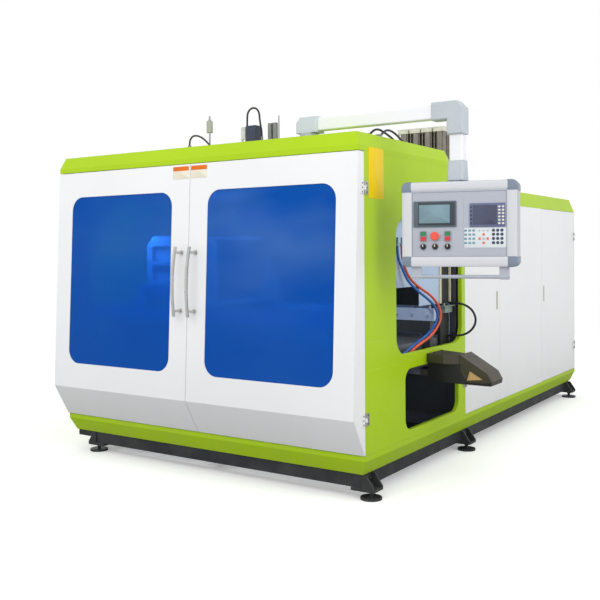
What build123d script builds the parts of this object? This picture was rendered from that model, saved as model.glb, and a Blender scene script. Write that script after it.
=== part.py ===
from build123d import *
import math
import os

# Blow moulding machine, millimetres, +Z up, front towards -Y, discharge side towards +X.
# Origin on the floor, at the centre of the rectangle of the four corner anchor holes.

# Enclosure
WIDTH = 2570.0
FRONT_DEPTH = 1510.0
REAR_DEPTH = 2860.0
SLOPE_RUN = 300.0
ROOF_Z = 2200.0
REAR_ROOF_Z = 1994.0
SHEET = 3.0
PANEL_DEPTH = 28.0
PANEL_GAP = 2.0

# Anchors and feet
RIGHT_INSET = 20.0
LEFT_INSET = 210.0
FRONT_INSET = 100.0
ANCHOR_SPACING_X = WIDTH - RIGHT_INSET - LEFT_INSET
ANCHOR_SPACING_Y = 4220.0
ANCHOR_HOLE_R = 7.0
ANCHOR_OFFSET = 45.0
PAD_R = 66.0
PAD_THICKNESS = 14.0
STUD_R = 12.0
MIDDLE_FOOT_Y = 1575.0

# Places of the enclosure planes
SIDE_X = ANCHOR_SPACING_X / 2 + RIGHT_INSET
LEFT_X = SIDE_X - WIDTH
MID_X = (SIDE_X + LEFT_X) / 2
FOOT_X = ANCHOR_SPACING_X / 2
FOOT_Y = ANCHOR_SPACING_Y / 2 - ANCHOR_OFFSET
FRONT_Y = -FOOT_Y - FRONT_INSET
JOIN_Y = FRONT_Y + FRONT_DEPTH
REAR_Y = JOIN_Y + REAR_DEPTH

# Base beams
BEAM_Z = 70.0
BEAM_H = 84.0
BEAM_W = 100.0
BEAM_SIDE_INSET = 48.0
BEAM_FRONT_INSET = 50.0
TANK_BEAM_BACK = 345.0
DRIVE_BEAM_BACK = 1440.0
TANK_BEAM_Y = JOIN_Y + TANK_BEAM_BACK
DRIVE_BEAM_Y = JOIN_Y + DRIVE_BEAM_BACK

# Skirt
SKIRT_CREASE_Z = 245.0
SKIRT_TOP_Z = 278.0
SKIRT_INSET = 40.0

# Front doors
DOOR_TOP_Z = 2085.0
DOOR_KINK_Z = 507.0
DOOR_TOP_OUT = 67.0
DOOR_KINK_OUT = 140.0
WINDOW_Z0 = 686.0
WINDOW_Z1 = 1900.0
WINDOW_R = 100.0
WINDOW_OUTER_MARGIN = 146.0
WINDOW_INNER_MARGIN = 156.0
WINDOW_W = WIDTH / 2 - WINDOW_OUTER_MARGIN - WINDOW_INNER_MARGIN
WINDOW_LAP = 22.0
WINDOW_T = 6.0
WINDOW_LOOSE = 0.3

# Roof cover
FASCIA_CREASE_Z = 2119.0
FASCIA_TOP_OUT = 35.0
ROOF_SIDE_INSET = 28.0
ROOF_FLAT = FRONT_DEPTH - SLOPE_RUN
REAR_WHITE_TOP_Z = 1866.0
REAR_ROOF_INSET = 42.0

# Side openings, measured from the front edge of the side panel
UPPER_OPEN_Y0 = 404.0
UPPER_OPEN_Y1 = 1447.0
UPPER_OPEN_Z0 = 828.0
UPPER_OPEN_Z1 = 1700.0
LOWER_OPEN_Y0 = 525.0
LOWER_OPEN_Y1 = 1382.0
LOWER_OPEN_Z0 = 330.0
LOWER_OPEN_Z1 = 730.0
OPEN_R = 120.0
LOWER_OPEN_R = 80.0

# Rear module doors, measured from the front edge of the side panel
DOOR_A_Y1 = 2232.0
DOOR_B_Y0 = 3312.0
LATCH_Z = 1087.0
LATCH_W = 30.0
LATCH_H = 145.0
LATCH_EDGE = 62.0

# Hinges
HINGE_H = 75.0
HINGE_LEAF = 36.0
HINGE_T = 4.0
KNUCKLE_R = 7.0
PIN_R = 4.0
PIN_LOOSE = 0.05
HINGE_TOP_Z = 1868.0
HINGE_LOW_Z = 495.0

# Clamp, carriage and blow station
CLAMP_Y = FRONT_Y + 600.0
DIE_X = SIDE_X - 1060.0
STROKE_X = 610.0
BLOW_X = DIE_X - STROKE_X
RAIL_TOP_Z = 1090.0
RAIL_H = 85.0
RAIL_W = 60.0
RAIL_SPREAD = 435.0
RAIL_END_GAP = 20.0
CAVITIES = 4
CAVITY_PITCH = 136.0
MOULD_W = 570.0
MOULD_H = 340.0
MOULD_T = 130.0
MOULD_Z0 = 1245.0
PLATEN_W = 620.0
PLATEN_T = 60.0
PLATEN_Z0 = 1150.0
PLATEN_Z1 = 1610.0
OPEN_STROKE = 170.0
TIE_R = 30.0
TIE_X = 200.0
TIE_Z = 1198.0
BOTTLE_R = 46.0
BOTTLE_H = 215.0
NECK_R = 17.0
PIN_PITCH_R = 8.0
PIN_TRAVEL = 120.0
EXTRUDER_Z = 1790.0

# Pendant arm and control box, measured from the side plane and the panels' front edge
ARM_PIVOT_X = SIDE_X - 564.0
ARM_Y = FRONT_Y + 281.0
TURRET_TOP_Z = ROOF_Z + 62.0
BEAM_TUBE_H = 83.0
BEAM_TUBE_Z0 = TURRET_TOP_Z + 10.0
BEAM_TUBE_Z1 = BEAM_TUBE_Z0 + BEAM_TUBE_H
BEAM_TUBE_W = 70.0
COLUMN_X = SIDE_X + 470.0
COLUMN_TUBE_W = 84.0
COLUMN_TUBE_D = 60.0
COLUMN_Z0 = 1902.0
BOX_W = 662.0
BOX_H = 493.0
BOX_D = 170.0
BOX_NECK = 9.0
BOX_Z0 = COLUMN_Z0 - BOX_NECK - BOX_H
BOX_TURN = 14.0
BOX_FRAME = 60.0
BOX_SHIFT = 16.0
BOX_RECESS = 6.0
BOX_CORNER_R = 30.0

os.makedirs("parts", exist_ok=True)


def block(x0, x1, y0, y1, z0, z1, mode=Mode.ADD):
    """A box between two corners, inside the current part."""
    with Locations(((x0 + x1) / 2, (y0 + y1) / 2, (z0 + z1) / 2)):
        Box(x1 - x0, y1 - y0, z1 - z0, mode=mode)


def post(x, y, z0, z1, r, mode=Mode.ADD):
    """An upright cylinder."""
    with Locations((x, y, (z0 + z1) / 2)):
        Cylinder(r, z1 - z0, mode=mode)


def rod_y(x, z, y0, y1, r, mode=Mode.ADD):
    """A cylinder along Y."""
    with Locations(Location((x, (y0 + y1) / 2, z), (90, 0, 0))):
        Cylinder(r, y1 - y0, mode=mode)


def rod_x(y, z, x0, x1, r, mode=Mode.ADD):
    """A cylinder along X."""
    with Locations(Location(((x0 + x1) / 2, y, z), (0, 90, 0))):
        Cylinder(r, x1 - x0, mode=mode)


def save(piece, name):
    """Label a finished piece and write its file."""
    piece.label = name
    export_step(piece, f"parts/{name}.step")


def door_out(z):
    """How far the front door's face stands in front of the side panels at height z."""
    if z >= DOOR_KINK_Z:
        share = (DOOR_TOP_Z - z) / (DOOR_TOP_Z - DOOR_KINK_Z)
        return DOOR_TOP_OUT + share * (DOOR_KINK_OUT - DOOR_TOP_OUT)
    return DOOR_KINK_OUT * (z - SKIRT_TOP_Z) / (DOOR_KINK_Z - SKIRT_TOP_Z)


DOOR_TILT = math.atan((DOOR_KINK_OUT - DOOR_TOP_OUT) / (DOOR_TOP_Z - DOOR_KINK_Z))


def door_plane(x, z, depth=0.0):
    """A plane on the tilted door face, at x and height z, looking outwards, set back by depth."""
    normal = Vector(0, -math.cos(DOOR_TILT), math.sin(DOOR_TILT))
    origin = Vector(x, FRONT_Y - door_out(z), z) - normal * depth
    return Plane(origin=origin, x_dir=(1, 0, 0), z_dir=normal)


# Base frame: box beams all round, cross beams, one middle beam and gusset foot brackets
BEAM_X1 = SIDE_X - BEAM_SIDE_INSET
BEAM_X0 = -BEAM_X1
BEAM_Y0 = FRONT_Y + BEAM_FRONT_INSET
BEAM_Y1 = REAR_Y - BEAM_FRONT_INSET
BEAM_Z1 = BEAM_Z + BEAM_H
POST = 60.0
POST_INSET = BEAM_SIDE_INSET
FRAME_X1 = SIDE_X - POST_INSET
FRAME_X0 = LEFT_X + POST_INSET
FRAME_Y0 = BEAM_Y0
FRAME_TOP = ROOF_Z - 140.0
REAR_FRAME_TOP = REAR_ROOF_Z - 19.0
SIDE_RAIL_Z1 = 760.0
BASE_TOP = BEAM_Z1 + SHEET
JOIN_POST_Y = JOIN_Y - POST - 4.0
A_POST_Y = FRONT_Y + DOOR_A_Y1
B_POST_Y = FRONT_Y + DOOR_B_Y0
REAR_POST_Y = BEAM_Y1 - POST
ROOF_BEAM_Y = FRONT_Y + 1010.0
BULKHEAD = 4.0
OUTRIGGER_Y = (FRAME_Y0, JOIN_POST_Y, A_POST_Y - POST / 2, B_POST_Y - POST / 2, REAR_POST_Y)
OUTRIGGER_H = 44.0
FEET = [(sx * FOOT_X, y) for sx in (-1, 1) for y in (-FOOT_Y, FRONT_Y + MIDDLE_FOOT_Y, FOOT_Y)]
BRACKET_Z0 = 52.0
BRACKET_T = 14.0
BRACKET_W = 120.0
BRACKET_REACH = 78.0
RIB_T = 12.0


def beam(members, x0, x1, y0, y1, z0, z1):
    """Add one straight member, a box between two corners, to a list of members."""
    with BuildPart() as member:
        block(x0, x1, y0, y1, z0, z1)
    members.append(member.part)


base_members = []
for beam_x in (BEAM_X0, BEAM_X1 - BEAM_W):
    beam(base_members, beam_x, beam_x + BEAM_W, BEAM_Y0, BEAM_Y1, BEAM_Z, BEAM_Z1)
CROSS_BEAM_Y = (BEAM_Y0 + BEAM_W / 2, JOIN_Y, TANK_BEAM_Y, DRIVE_BEAM_Y, BEAM_Y1 - BEAM_W / 2)
for beam_y in CROSS_BEAM_Y:
    beam(base_members, BEAM_X0 + BEAM_W, BEAM_X1 - BEAM_W, beam_y - BEAM_W / 2, beam_y + BEAM_W / 2, BEAM_Z, BEAM_Z1)
for near_y, far_y in zip(CROSS_BEAM_Y, CROSS_BEAM_Y[1:]):
    beam(base_members, MID_X - BEAM_W / 2, MID_X + BEAM_W / 2, near_y + BEAM_W / 2, far_y - BEAM_W / 2,
         BEAM_Z, BEAM_Z1)
for y in OUTRIGGER_Y:
    beam(base_members, FRAME_X0, BEAM_X0, y, y + POST, BEAM_Z1 - OUTRIGGER_H, BEAM_Z1)
for foot_x, foot_y in FEET:
    side = 1 if foot_x > 0 else -1
    beam_face = BEAM_X1 if side > 0 else BEAM_X0
    with BuildPart() as foot_bracket:
        with BuildSketch(Plane.XZ.offset(-foot_y - BRACKET_W / 2)):
            with BuildLine():
                Polyline(
                    (beam_face, BEAM_Z1 - 6),
                    (beam_face + side * BRACKET_REACH * 0.35, BEAM_Z1 - 6),
                    (beam_face + side * BRACKET_REACH, BRACKET_Z0 + BRACKET_T + 8),
                    (beam_face + side * BRACKET_REACH, BRACKET_Z0),
                    (beam_face - side * BEAM_W * 0.8, BRACKET_Z0),
                    (beam_face - side * BEAM_W * 0.8, BEAM_Z),
                    (beam_face, BEAM_Z),
                    close=True,
                )
            make_face()
        extrude(amount=BRACKET_W)
        # the pocket that leaves a rib at each end of the bracket
        block(
            min(beam_face, beam_face + side * (BRACKET_REACH + 1)),
            max(beam_face, beam_face + side * (BRACKET_REACH + 1)),
            foot_y - BRACKET_W / 2 + RIB_T,
            foot_y + BRACKET_W / 2 - RIB_T,
            BRACKET_Z0 + BRACKET_T,
            BEAM_Z1,
            mode=Mode.SUBTRACT,
        )
        post(foot_x, foot_y, BRACKET_Z0 - 2, BRACKET_Z0 + BRACKET_T + 2, STUD_R + 0.5, mode=Mode.SUBTRACT)
    base_members.append(foot_bracket.part)
save(Compound(children=base_members), "base_frame")

# Levelling feet: round pad with a boss, stud and nuts above and below the bracket
NUT_R = 20.0
NUT_H = 14.0
with BuildPart() as levelling_feet:
    for foot_x, foot_y in FEET:
        outward = 1 if foot_y > 0 else -1
        post(foot_x, foot_y, 0, PAD_THICKNESS, PAD_R)
        post(foot_x, foot_y, PAD_THICKNESS, BRACKET_Z0 + BRACKET_T + NUT_H + 16, STUD_R)
        with BuildSketch(Plane.XY.offset(BRACKET_Z0 - NUT_H)):
            with Locations((foot_x, foot_y)):
                RegularPolygon(NUT_R, 6)
        extrude(amount=NUT_H)
        with BuildSketch(Plane.XY.offset(BRACKET_Z0 + BRACKET_T)):
            with Locations((foot_x, foot_y)):
                RegularPolygon(NUT_R, 6)
        extrude(amount=NUT_H)
        if abs(foot_y) == FOOT_Y:
            post(foot_x, foot_y + outward * ANCHOR_OFFSET, -1, PAD_THICKNESS + 1, ANCHOR_HOLE_R,
                 mode=Mode.SUBTRACT)
save(levelling_feet.part, "levelling_feet")

# Lower skirt: a folded band, upright above the crease and running inwards below it
SKIRT_TAPER = math.degrees(math.atan(SKIRT_INSET / (SKIRT_CREASE_Z - BEAM_Z1)))
with BuildPart() as lower_skirt:
    for inset, mode in ((0.0, Mode.ADD), (SHEET, Mode.SUBTRACT)):
        with BuildSketch(Plane.XY.offset(SKIRT_CREASE_Z)):
            with Locations((MID_X, (FRONT_Y + REAR_Y) / 2)):
                Rectangle(WIDTH - 2 * inset, REAR_Y - FRONT_Y - 2 * inset)
        extrude(amount=SKIRT_TOP_Z - SKIRT_CREASE_Z, mode=mode)
        with BuildSketch(Plane.XY.offset(SKIRT_CREASE_Z)):
            with Locations((MID_X, (FRONT_Y + REAR_Y) / 2)):
                Rectangle(WIDTH - 2 * inset, REAR_Y - FRONT_Y - 2 * inset)
        extrude(amount=-(SKIRT_CREASE_Z - BEAM_Z1), taper=SKIRT_TAPER, mode=mode)
    # the flange that lies on the base beams
    block(MID_X - WIDTH / 2 + SKIRT_INSET, MID_X + WIDTH / 2 - SKIRT_INSET,
          FRONT_Y + SKIRT_INSET, REAR_Y - SKIRT_INSET, BEAM_Z1, BEAM_Z1 + SHEET)
    block(BEAM_X0 + BEAM_W * 0.7, BEAM_X1 - BEAM_W * 0.7, BEAM_Y0 + BEAM_W * 0.7, BEAM_Y1 - BEAM_W * 0.7,
          BEAM_Z1 - 1, BEAM_Z1 + SHEET + 1, mode=Mode.SUBTRACT)
save(lower_skirt.part, "lower_skirt")

# Side panels: folded trays that follow the roof line, the right one with two rounded openings
SIDE_TOP_Z = DOOR_TOP_Z
SLOPE_DROP = ROOF_Z - SIDE_TOP_Z
SLOPE_ANGLE = math.atan((ROOF_Z - REAR_ROOF_Z) / (FRONT_DEPTH - ROOF_FLAT))
SLOPE_KNEE = ROOF_FLAT - SLOPE_DROP * math.tan(SLOPE_ANGLE / 2)
SIDE_END_Z = SIDE_TOP_Z - (FRONT_DEPTH - SLOPE_KNEE) * math.tan(SLOPE_ANGLE)
SIDE_OUTLINE = [
    (0, SKIRT_TOP_Z),
    (FRONT_DEPTH - PANEL_GAP, SKIRT_TOP_Z),
    (FRONT_DEPTH - PANEL_GAP, SIDE_END_Z),
    (SLOPE_KNEE, SIDE_TOP_Z),
    (0, SIDE_TOP_Z),
]
UPPER_MID = ((UPPER_OPEN_Y0 + UPPER_OPEN_Y1) / 2, (UPPER_OPEN_Z0 + UPPER_OPEN_Z1) / 2)
LOWER_MID = ((LOWER_OPEN_Y0 + LOWER_OPEN_Y1) / 2, (LOWER_OPEN_Z0 + LOWER_OPEN_Z1) / 2)

with BuildPart() as right_side_panel:
    with BuildSketch(Plane(origin=(SIDE_X, FRONT_Y, 0), x_dir=(0, 1, 0), z_dir=(1, 0, 0))):
        with BuildLine():
            Polyline(*SIDE_OUTLINE, close=True)
        make_face()
        with Locations(UPPER_MID):
            RectangleRounded(UPPER_OPEN_Y1 - UPPER_OPEN_Y0, UPPER_OPEN_Z1 - UPPER_OPEN_Z0, OPEN_R,
                             mode=Mode.SUBTRACT)
        with Locations(LOWER_MID):
            RectangleRounded(LOWER_OPEN_Y1 - LOWER_OPEN_Y0, LOWER_OPEN_Z1 - LOWER_OPEN_Z0, LOWER_OPEN_R,
                             mode=Mode.SUBTRACT)
    extrude(amount=-PANEL_DEPTH)
    offset(amount=-SHEET, openings=right_side_panel.faces().sort_by(Axis.X)[0])
# The tray is made of lengths that meet where the rounded corners of the upper opening end
ARC_Y0 = FRONT_Y + UPPER_OPEN_Y0 + OPEN_R
ARC_Y1 = FRONT_Y + UPPER_OPEN_Y1 - OPEN_R
PANEL_Y0 = FRONT_Y - 100.0
PANEL_Y1 = FRONT_Y + FRONT_DEPTH + 100.0
BAR_MID_Z = (LOWER_OPEN_Z1 + UPPER_OPEN_Z0) / 2
PANEL_LENGTHS = (
    (0.0, BAR_MID_Z, (PANEL_Y0, PANEL_Y1)),
    (BAR_MID_Z, UPPER_OPEN_Z0 + OPEN_R, (PANEL_Y0, ARC_Y0, ARC_Y1, PANEL_Y1)),
    (UPPER_OPEN_Z0 + OPEN_R, UPPER_OPEN_Z1 - OPEN_R, (PANEL_Y0, PANEL_Y1)),
    (UPPER_OPEN_Z1 - OPEN_R, SIDE_TOP_Z + 100, (PANEL_Y0, ARC_Y0, ARC_Y1, PANEL_Y1)),
)
panel_members = []
for z0, z1, joints in PANEL_LENGTHS:
    for y0, y1 in zip(joints, joints[1:]):
        with BuildPart() as length:
            add(right_side_panel.part)
            block(SIDE_X - 100, SIDE_X + 100, y0, y1, z0, z1, mode=Mode.INTERSECT)
        panel_members.extend(length.part.solids())
save(Compound(children=panel_members), "right_side_panel")

with BuildPart() as left_side_panel:
    with BuildSketch(Plane(origin=(LEFT_X, FRONT_Y, 0), x_dir=(0, 1, 0), z_dir=(1, 0, 0))):
        with BuildLine():
            Polyline(*SIDE_OUTLINE, close=True)
        make_face()
    extrude(amount=PANEL_DEPTH)
    offset(amount=-SHEET, openings=left_side_panel.faces().sort_by(Axis.X)[-1])
save(left_side_panel.part, "left_side_panel")

# Roof cover of the front module: fascia, flat top, slope to the rear module, bevelled sides
ROD_HOLE_R = 32.0
with BuildPart() as roof_cover:
    with BuildSketch(Plane(origin=(LEFT_X, FRONT_Y, 0), x_dir=(0, 1, 0), z_dir=(1, 0, 0))):
        with BuildLine():
            Polyline(
                (-DOOR_TOP_OUT, DOOR_TOP_Z),
                (-DOOR_TOP_OUT, FASCIA_CREASE_Z),
                (-FASCIA_TOP_OUT, ROOF_Z),
                (ROOF_FLAT, ROOF_Z),
                (FRONT_DEPTH, REAR_ROOF_Z),
                (FRONT_DEPTH, SIDE_END_Z),
                (SLOPE_KNEE, SIDE_TOP_Z),
                close=True,
            )
        make_face()
    extrude(amount=WIDTH)
    for side in (-1, 1):
        edge_x = MID_X + side * WIDTH / 2
        rise = ROOF_Z - FASCIA_CREASE_Z
        flat_bevel = Plane(origin=(edge_x, FRONT_Y, FASCIA_CREASE_Z), z_dir=(side * rise, 0, ROOF_SIDE_INSET))
        split(bisect_by=flat_bevel, keep=Keep.BOTTOM)
        knee = Vector(edge_x, FRONT_Y + ROOF_FLAT - rise * math.tan(SLOPE_ANGLE / 2), FASCIA_CREASE_Z)
        along = Vector(0, math.cos(SLOPE_ANGLE), -math.sin(SLOPE_ANGLE))
        upright = Vector(0, math.sin(SLOPE_ANGLE), math.cos(SLOPE_ANGLE))
        inward = upright * rise - Vector(side * ROOF_SIDE_INSET, 0, 0)
        bevel_normal = along.cross(inward) if side < 0 else inward.cross(along)
        slope_bevel = Plane(origin=knee, z_dir=bevel_normal)
        split(bisect_by=slope_bevel, keep=Keep.BOTTOM if bevel_normal.Z > 0 else Keep.TOP)
    open_faces = roof_cover.faces().filter_by(lambda f: f.normal_at().Z < -0.5)
    open_faces += roof_cover.faces().sort_by(Axis.Y)[-1:]
    offset(amount=-SHEET, openings=open_faces)
    post(BLOW_X, CLAMP_Y, ROOF_Z - 20, ROOF_Z + 20, ROD_HOLE_R, mode=Mode.SUBTRACT)
save(roof_cover.part, "roof_cover")

# Roof cover of the rear module: a bevelled band with a flat top, open underneath and to the front
REAR_BAND = REAR_ROOF_Z - REAR_WHITE_TOP_Z
HOPPER_BACK = 1090.0
HOPPER_Y = JOIN_Y + HOPPER_BACK
HOPPER_THROAT = 150.0
with BuildPart() as rear_cover:
    with BuildSketch(Plane(origin=(0, REAR_Y, 0), x_dir=(-1, 0, 0), z_dir=(0, 1, 0))):
        with BuildLine():
            Polyline(
                (-SIDE_X, REAR_WHITE_TOP_Z),
                (-SIDE_X + REAR_ROOF_INSET, REAR_ROOF_Z),
                (-LEFT_X - REAR_ROOF_INSET, REAR_ROOF_Z),
                (-LEFT_X, REAR_WHITE_TOP_Z),
                close=True,
            )
        make_face()
    extrude(amount=-(REAR_Y - JOIN_Y - PANEL_GAP))
    split(bisect_by=Plane(origin=(0, REAR_Y, REAR_WHITE_TOP_Z), z_dir=(0, REAR_BAND, REAR_ROOF_INSET)),
          keep=Keep.BOTTOM)
    open_faces = rear_cover.faces().sort_by(Axis.Z)[:1] + rear_cover.faces().sort_by(Axis.Y)[:1]
    offset(amount=-SHEET, openings=open_faces)
    block(DIE_X - HOPPER_THROAT / 2 - 6, DIE_X + HOPPER_THROAT / 2 + 6, HOPPER_Y - HOPPER_THROAT / 2 - 6,
          HOPPER_Y + HOPPER_THROAT / 2 + 6, REAR_ROOF_Z - 20, REAR_ROOF_Z + 20, mode=Mode.SUBTRACT)
save(rear_cover.part, "rear_cover")

# Steel frame: posts and beams of both modules, and the bulkheads round the cabinets
frame_members = []
for x0 in (FRAME_X1 - POST, FRAME_X0):
    x1 = x0 + POST
    beam(frame_members, x0, x1, FRAME_Y0, FRAME_Y0 + POST, BASE_TOP, FRAME_TOP)
    for y in (JOIN_POST_Y, A_POST_Y - POST / 2, B_POST_Y - POST / 2):
        beam(frame_members, x0, x1, y, y + POST, BASE_TOP, REAR_FRAME_TOP - POST)
    beam(frame_members, x0, x1, REAR_POST_Y, REAR_POST_Y + POST, BASE_TOP, REAR_FRAME_TOP)
    beam(frame_members, x0, x1, FRAME_Y0 + POST, JOIN_POST_Y, SIDE_RAIL_Z1 - POST, SIDE_RAIL_Z1)
    beam(frame_members, x0, x1, FRAME_Y0 + POST, REAR_POST_Y, REAR_FRAME_TOP - POST, REAR_FRAME_TOP)
    beam(frame_members, x0, x1, ROOF_BEAM_Y, ROOF_BEAM_Y + POST, REAR_FRAME_TOP, FRAME_TOP)
for y in (FRAME_Y0, ROOF_BEAM_Y):
    beam(frame_members, FRAME_X0 + POST, FRAME_X1 - POST, y, y + POST, FRAME_TOP - POST, FRAME_TOP)
for y in (JOIN_POST_Y, A_POST_Y - POST / 2, B_POST_Y - POST / 2, REAR_POST_Y):
    beam(frame_members, FRAME_X0 + POST, FRAME_X1 - POST, y, y + POST, REAR_FRAME_TOP - POST, REAR_FRAME_TOP)
for y, top_z in ((JOIN_POST_Y + (POST + BULKHEAD) / 2, 1000), (A_POST_Y, 1400), (B_POST_Y, 1400)):
    beam(frame_members, FRAME_X0 + POST, FRAME_X1 - POST, y - BULKHEAD / 2, y + BULKHEAD / 2, SKIRT_TOP_Z, top_z)
save(Compound(children=frame_members), "steel_frame")

# Rear panels: fixed middle panel and rear corner strip on the right, three panels on the left
CORNER_STRIP = 36.0
DOOR_B_Y1 = REAR_Y - CORNER_STRIP
LEFT_PANELS = [(JOIN_Y, FRONT_Y + DOOR_A_Y1), (FRONT_Y + DOOR_A_Y1, FRONT_Y + DOOR_B_Y0),
               (FRONT_Y + DOOR_B_Y0, REAR_Y)]
with BuildPart() as middle_panel:
    with BuildSketch(Plane(origin=(SIDE_X, 0, 0), x_dir=(0, 1, 0), z_dir=(1, 0, 0))):
        with Locations(((A_POST_Y + B_POST_Y) / 2, (SKIRT_TOP_Z + REAR_WHITE_TOP_Z) / 2)):
            Rectangle(B_POST_Y - A_POST_Y - PANEL_GAP, REAR_WHITE_TOP_Z - SKIRT_TOP_Z)
    extrude(amount=-PANEL_DEPTH)
    offset(amount=-SHEET, openings=middle_panel.faces().sort_by(Axis.X)[0])
fixed_trays = [middle_panel.part]
with BuildPart() as corner_strip:
    block(SIDE_X - PANEL_DEPTH, SIDE_X, DOOR_B_Y1, REAR_Y, SKIRT_TOP_Z, REAR_WHITE_TOP_Z)
    block(SIDE_X - PANEL_DEPTH - 1, SIDE_X - SHEET, DOOR_B_Y1 + SHEET, REAR_Y - SHEET, SKIRT_TOP_Z - 1,
          REAR_WHITE_TOP_Z + 1, mode=Mode.SUBTRACT)
fixed_trays.append(corner_strip.part)
for y0, y1 in LEFT_PANELS:
    with BuildPart() as tray:
        with BuildSketch(Plane(origin=(LEFT_X, 0, 0), x_dir=(0, 1, 0), z_dir=(1, 0, 0))):
            with Locations(((y0 + y1) / 2, (SKIRT_TOP_Z + REAR_WHITE_TOP_Z) / 2)):
                Rectangle(y1 - y0 - PANEL_GAP, REAR_WHITE_TOP_Z - SKIRT_TOP_Z)
        extrude(amount=PANEL_DEPTH)
        offset(amount=-SHEET, openings=tray.faces().sort_by(Axis.X)[-1])
    fixed_trays.append(tray.part)
save(Compound(children=fixed_trays), "rear_panels")

# Back panel with two columns of louvre slots
LOUVRE_ROWS = 7
LOUVRE_W = 420.0
LOUVRE_H = 16.0
LOUVRE_PITCH = 60.0
with BuildPart() as back_panel:
    block(LEFT_X + PANEL_DEPTH + 1, SIDE_X - PANEL_DEPTH - 1, REAR_Y - PANEL_DEPTH, REAR_Y, SKIRT_TOP_Z,
          REAR_WHITE_TOP_Z)
    offset(amount=-SHEET, openings=back_panel.faces().sort_by(Axis.Y)[0])
    for column_x in (MID_X - 620, MID_X + 620):
        for row in range(LOUVRE_ROWS):
            slot_z = 1150 + row * LOUVRE_PITCH
            block(column_x - LOUVRE_W / 2, column_x + LOUVRE_W / 2, REAR_Y - SHEET - 1, REAR_Y + 1, slot_z,
                  slot_z + LOUVRE_H, mode=Mode.SUBTRACT)
save(back_panel.part, "back_panel")

# Hinges: leaf and knuckle shapes shared by the front doors and the cabinet doors
KNUCKLE_GAP = 0.5
LEAF_GAP = KNUCKLE_R + KNUCKLE_GAP
THIRD = HINGE_H / 3


def hinge_axis_x(side):
    """The X of a hinge axis, just outside the side plane."""
    return (SIDE_X if side > 0 else LEFT_X) + side * (KNUCKLE_R + 1.0)


def hinge_leaf(side, seam_y, z, toward):
    """A leaf that lies on the side face and reaches from the seam towards +Y or -Y."""
    face_x = SIDE_X if side > 0 else LEFT_X
    near = seam_y + toward * LEAF_GAP
    far = near + toward * HINGE_LEAF
    x0, x1 = sorted((face_x, face_x + side * HINGE_T))
    block(x0, x1, min(near, far), max(near, far), z - HINGE_H / 2, z + HINGE_H / 2)


def hinge_web(side, seam_y, z0, z1, toward):
    """The part of a leaf that joins it to its knuckle."""
    face_x = SIDE_X if side > 0 else LEFT_X
    far = seam_y + toward * (LEAF_GAP + 1)
    x0, x1 = sorted((face_x + side * 1.0, face_x + side * HINGE_T))
    block(x0, x1, min(seam_y, far), max(seam_y, far), z0, z1)


def moving_leaf(side, seam_y, z, toward):
    """The leaf on the door, with the middle knuckle bored for the pin."""
    low, high = z - THIRD / 2 + KNUCKLE_GAP, z + THIRD / 2 - KNUCKLE_GAP
    hinge_leaf(side, seam_y, z, toward)
    hinge_web(side, seam_y, low, high, toward)
    post(hinge_axis_x(side), seam_y, low, high, KNUCKLE_R)
    post(hinge_axis_x(side), seam_y, low - 1, high + 1, PIN_R + PIN_LOOSE, mode=Mode.SUBTRACT)


def fixed_leaf(side, seam_y, z, toward):
    """The leaf on the frame side, with the outer knuckles and the pin."""
    hinge_leaf(side, seam_y, z, toward)
    for low in (z - HINGE_H / 2, z + THIRD / 2):
        hinge_web(side, seam_y, low, low + THIRD, toward)
        post(hinge_axis_x(side), seam_y, low, low + THIRD, KNUCKLE_R)
    post(hinge_axis_x(side), seam_y, z - HINGE_H / 2, z + HINGE_H / 2, PIN_R)


FRONT_SEAM_Y = FRONT_Y - 1.0
CABINET_HINGE_Z = (520.0, 1620.0)
CABINET_SEAM_A = JOIN_Y - PANEL_GAP / 2 + 1.0
CABINET_SEAM_B = DOOR_B_Y1 - PANEL_GAP / 2

with BuildPart() as hinge_posts:
    for hinge_z in (HINGE_LOW_Z, HINGE_TOP_Z):
        for side in (-1, 1):
            fixed_leaf(side, FRONT_SEAM_Y, hinge_z, 1)
    for hinge_z in CABINET_HINGE_Z:
        fixed_leaf(1, CABINET_SEAM_A, hinge_z, -1)
        fixed_leaf(1, CABINET_SEAM_B, hinge_z, 1)
save(hinge_posts.part, "hinge_posts")

# Front doors: folded trays with a kink, a window opening in the front sheet and hinge leaves
DOOR_GAP = 4.0
DOOR_FOOT_OUT = 12.0
SEAM = 3.0
DOOR_PROFILE = [
    (-PANEL_GAP, SKIRT_TOP_Z + DOOR_GAP),
    (-DOOR_FOOT_OUT, SKIRT_TOP_Z + DOOR_GAP),
    (-DOOR_KINK_OUT, DOOR_KINK_Z),
    (-door_out(DOOR_TOP_Z - DOOR_GAP), DOOR_TOP_Z - DOOR_GAP),
    (-PANEL_GAP, DOOR_TOP_Z - DOOR_GAP),
]
WINDOW_MID_Z = (WINDOW_Z0 + WINDOW_Z1) / 2
WINDOW_H = (WINDOW_Z1 - WINDOW_Z0) / math.cos(DOOR_TILT)
HANDLE_OFF_SEAM = 61.0
HANDLE_Z0 = 1066.0
HANDLE_Z1 = 1526.0
HANDLE_END_OUT = 62.0
HANDLE_MID_OUT = 86.0
HANDLE_R = 11.0
HANDLE_POST_IN = 36.0
HANDLE_POST_R = 9.0
HANDLE_FLANGE_R = 17.0

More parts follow.
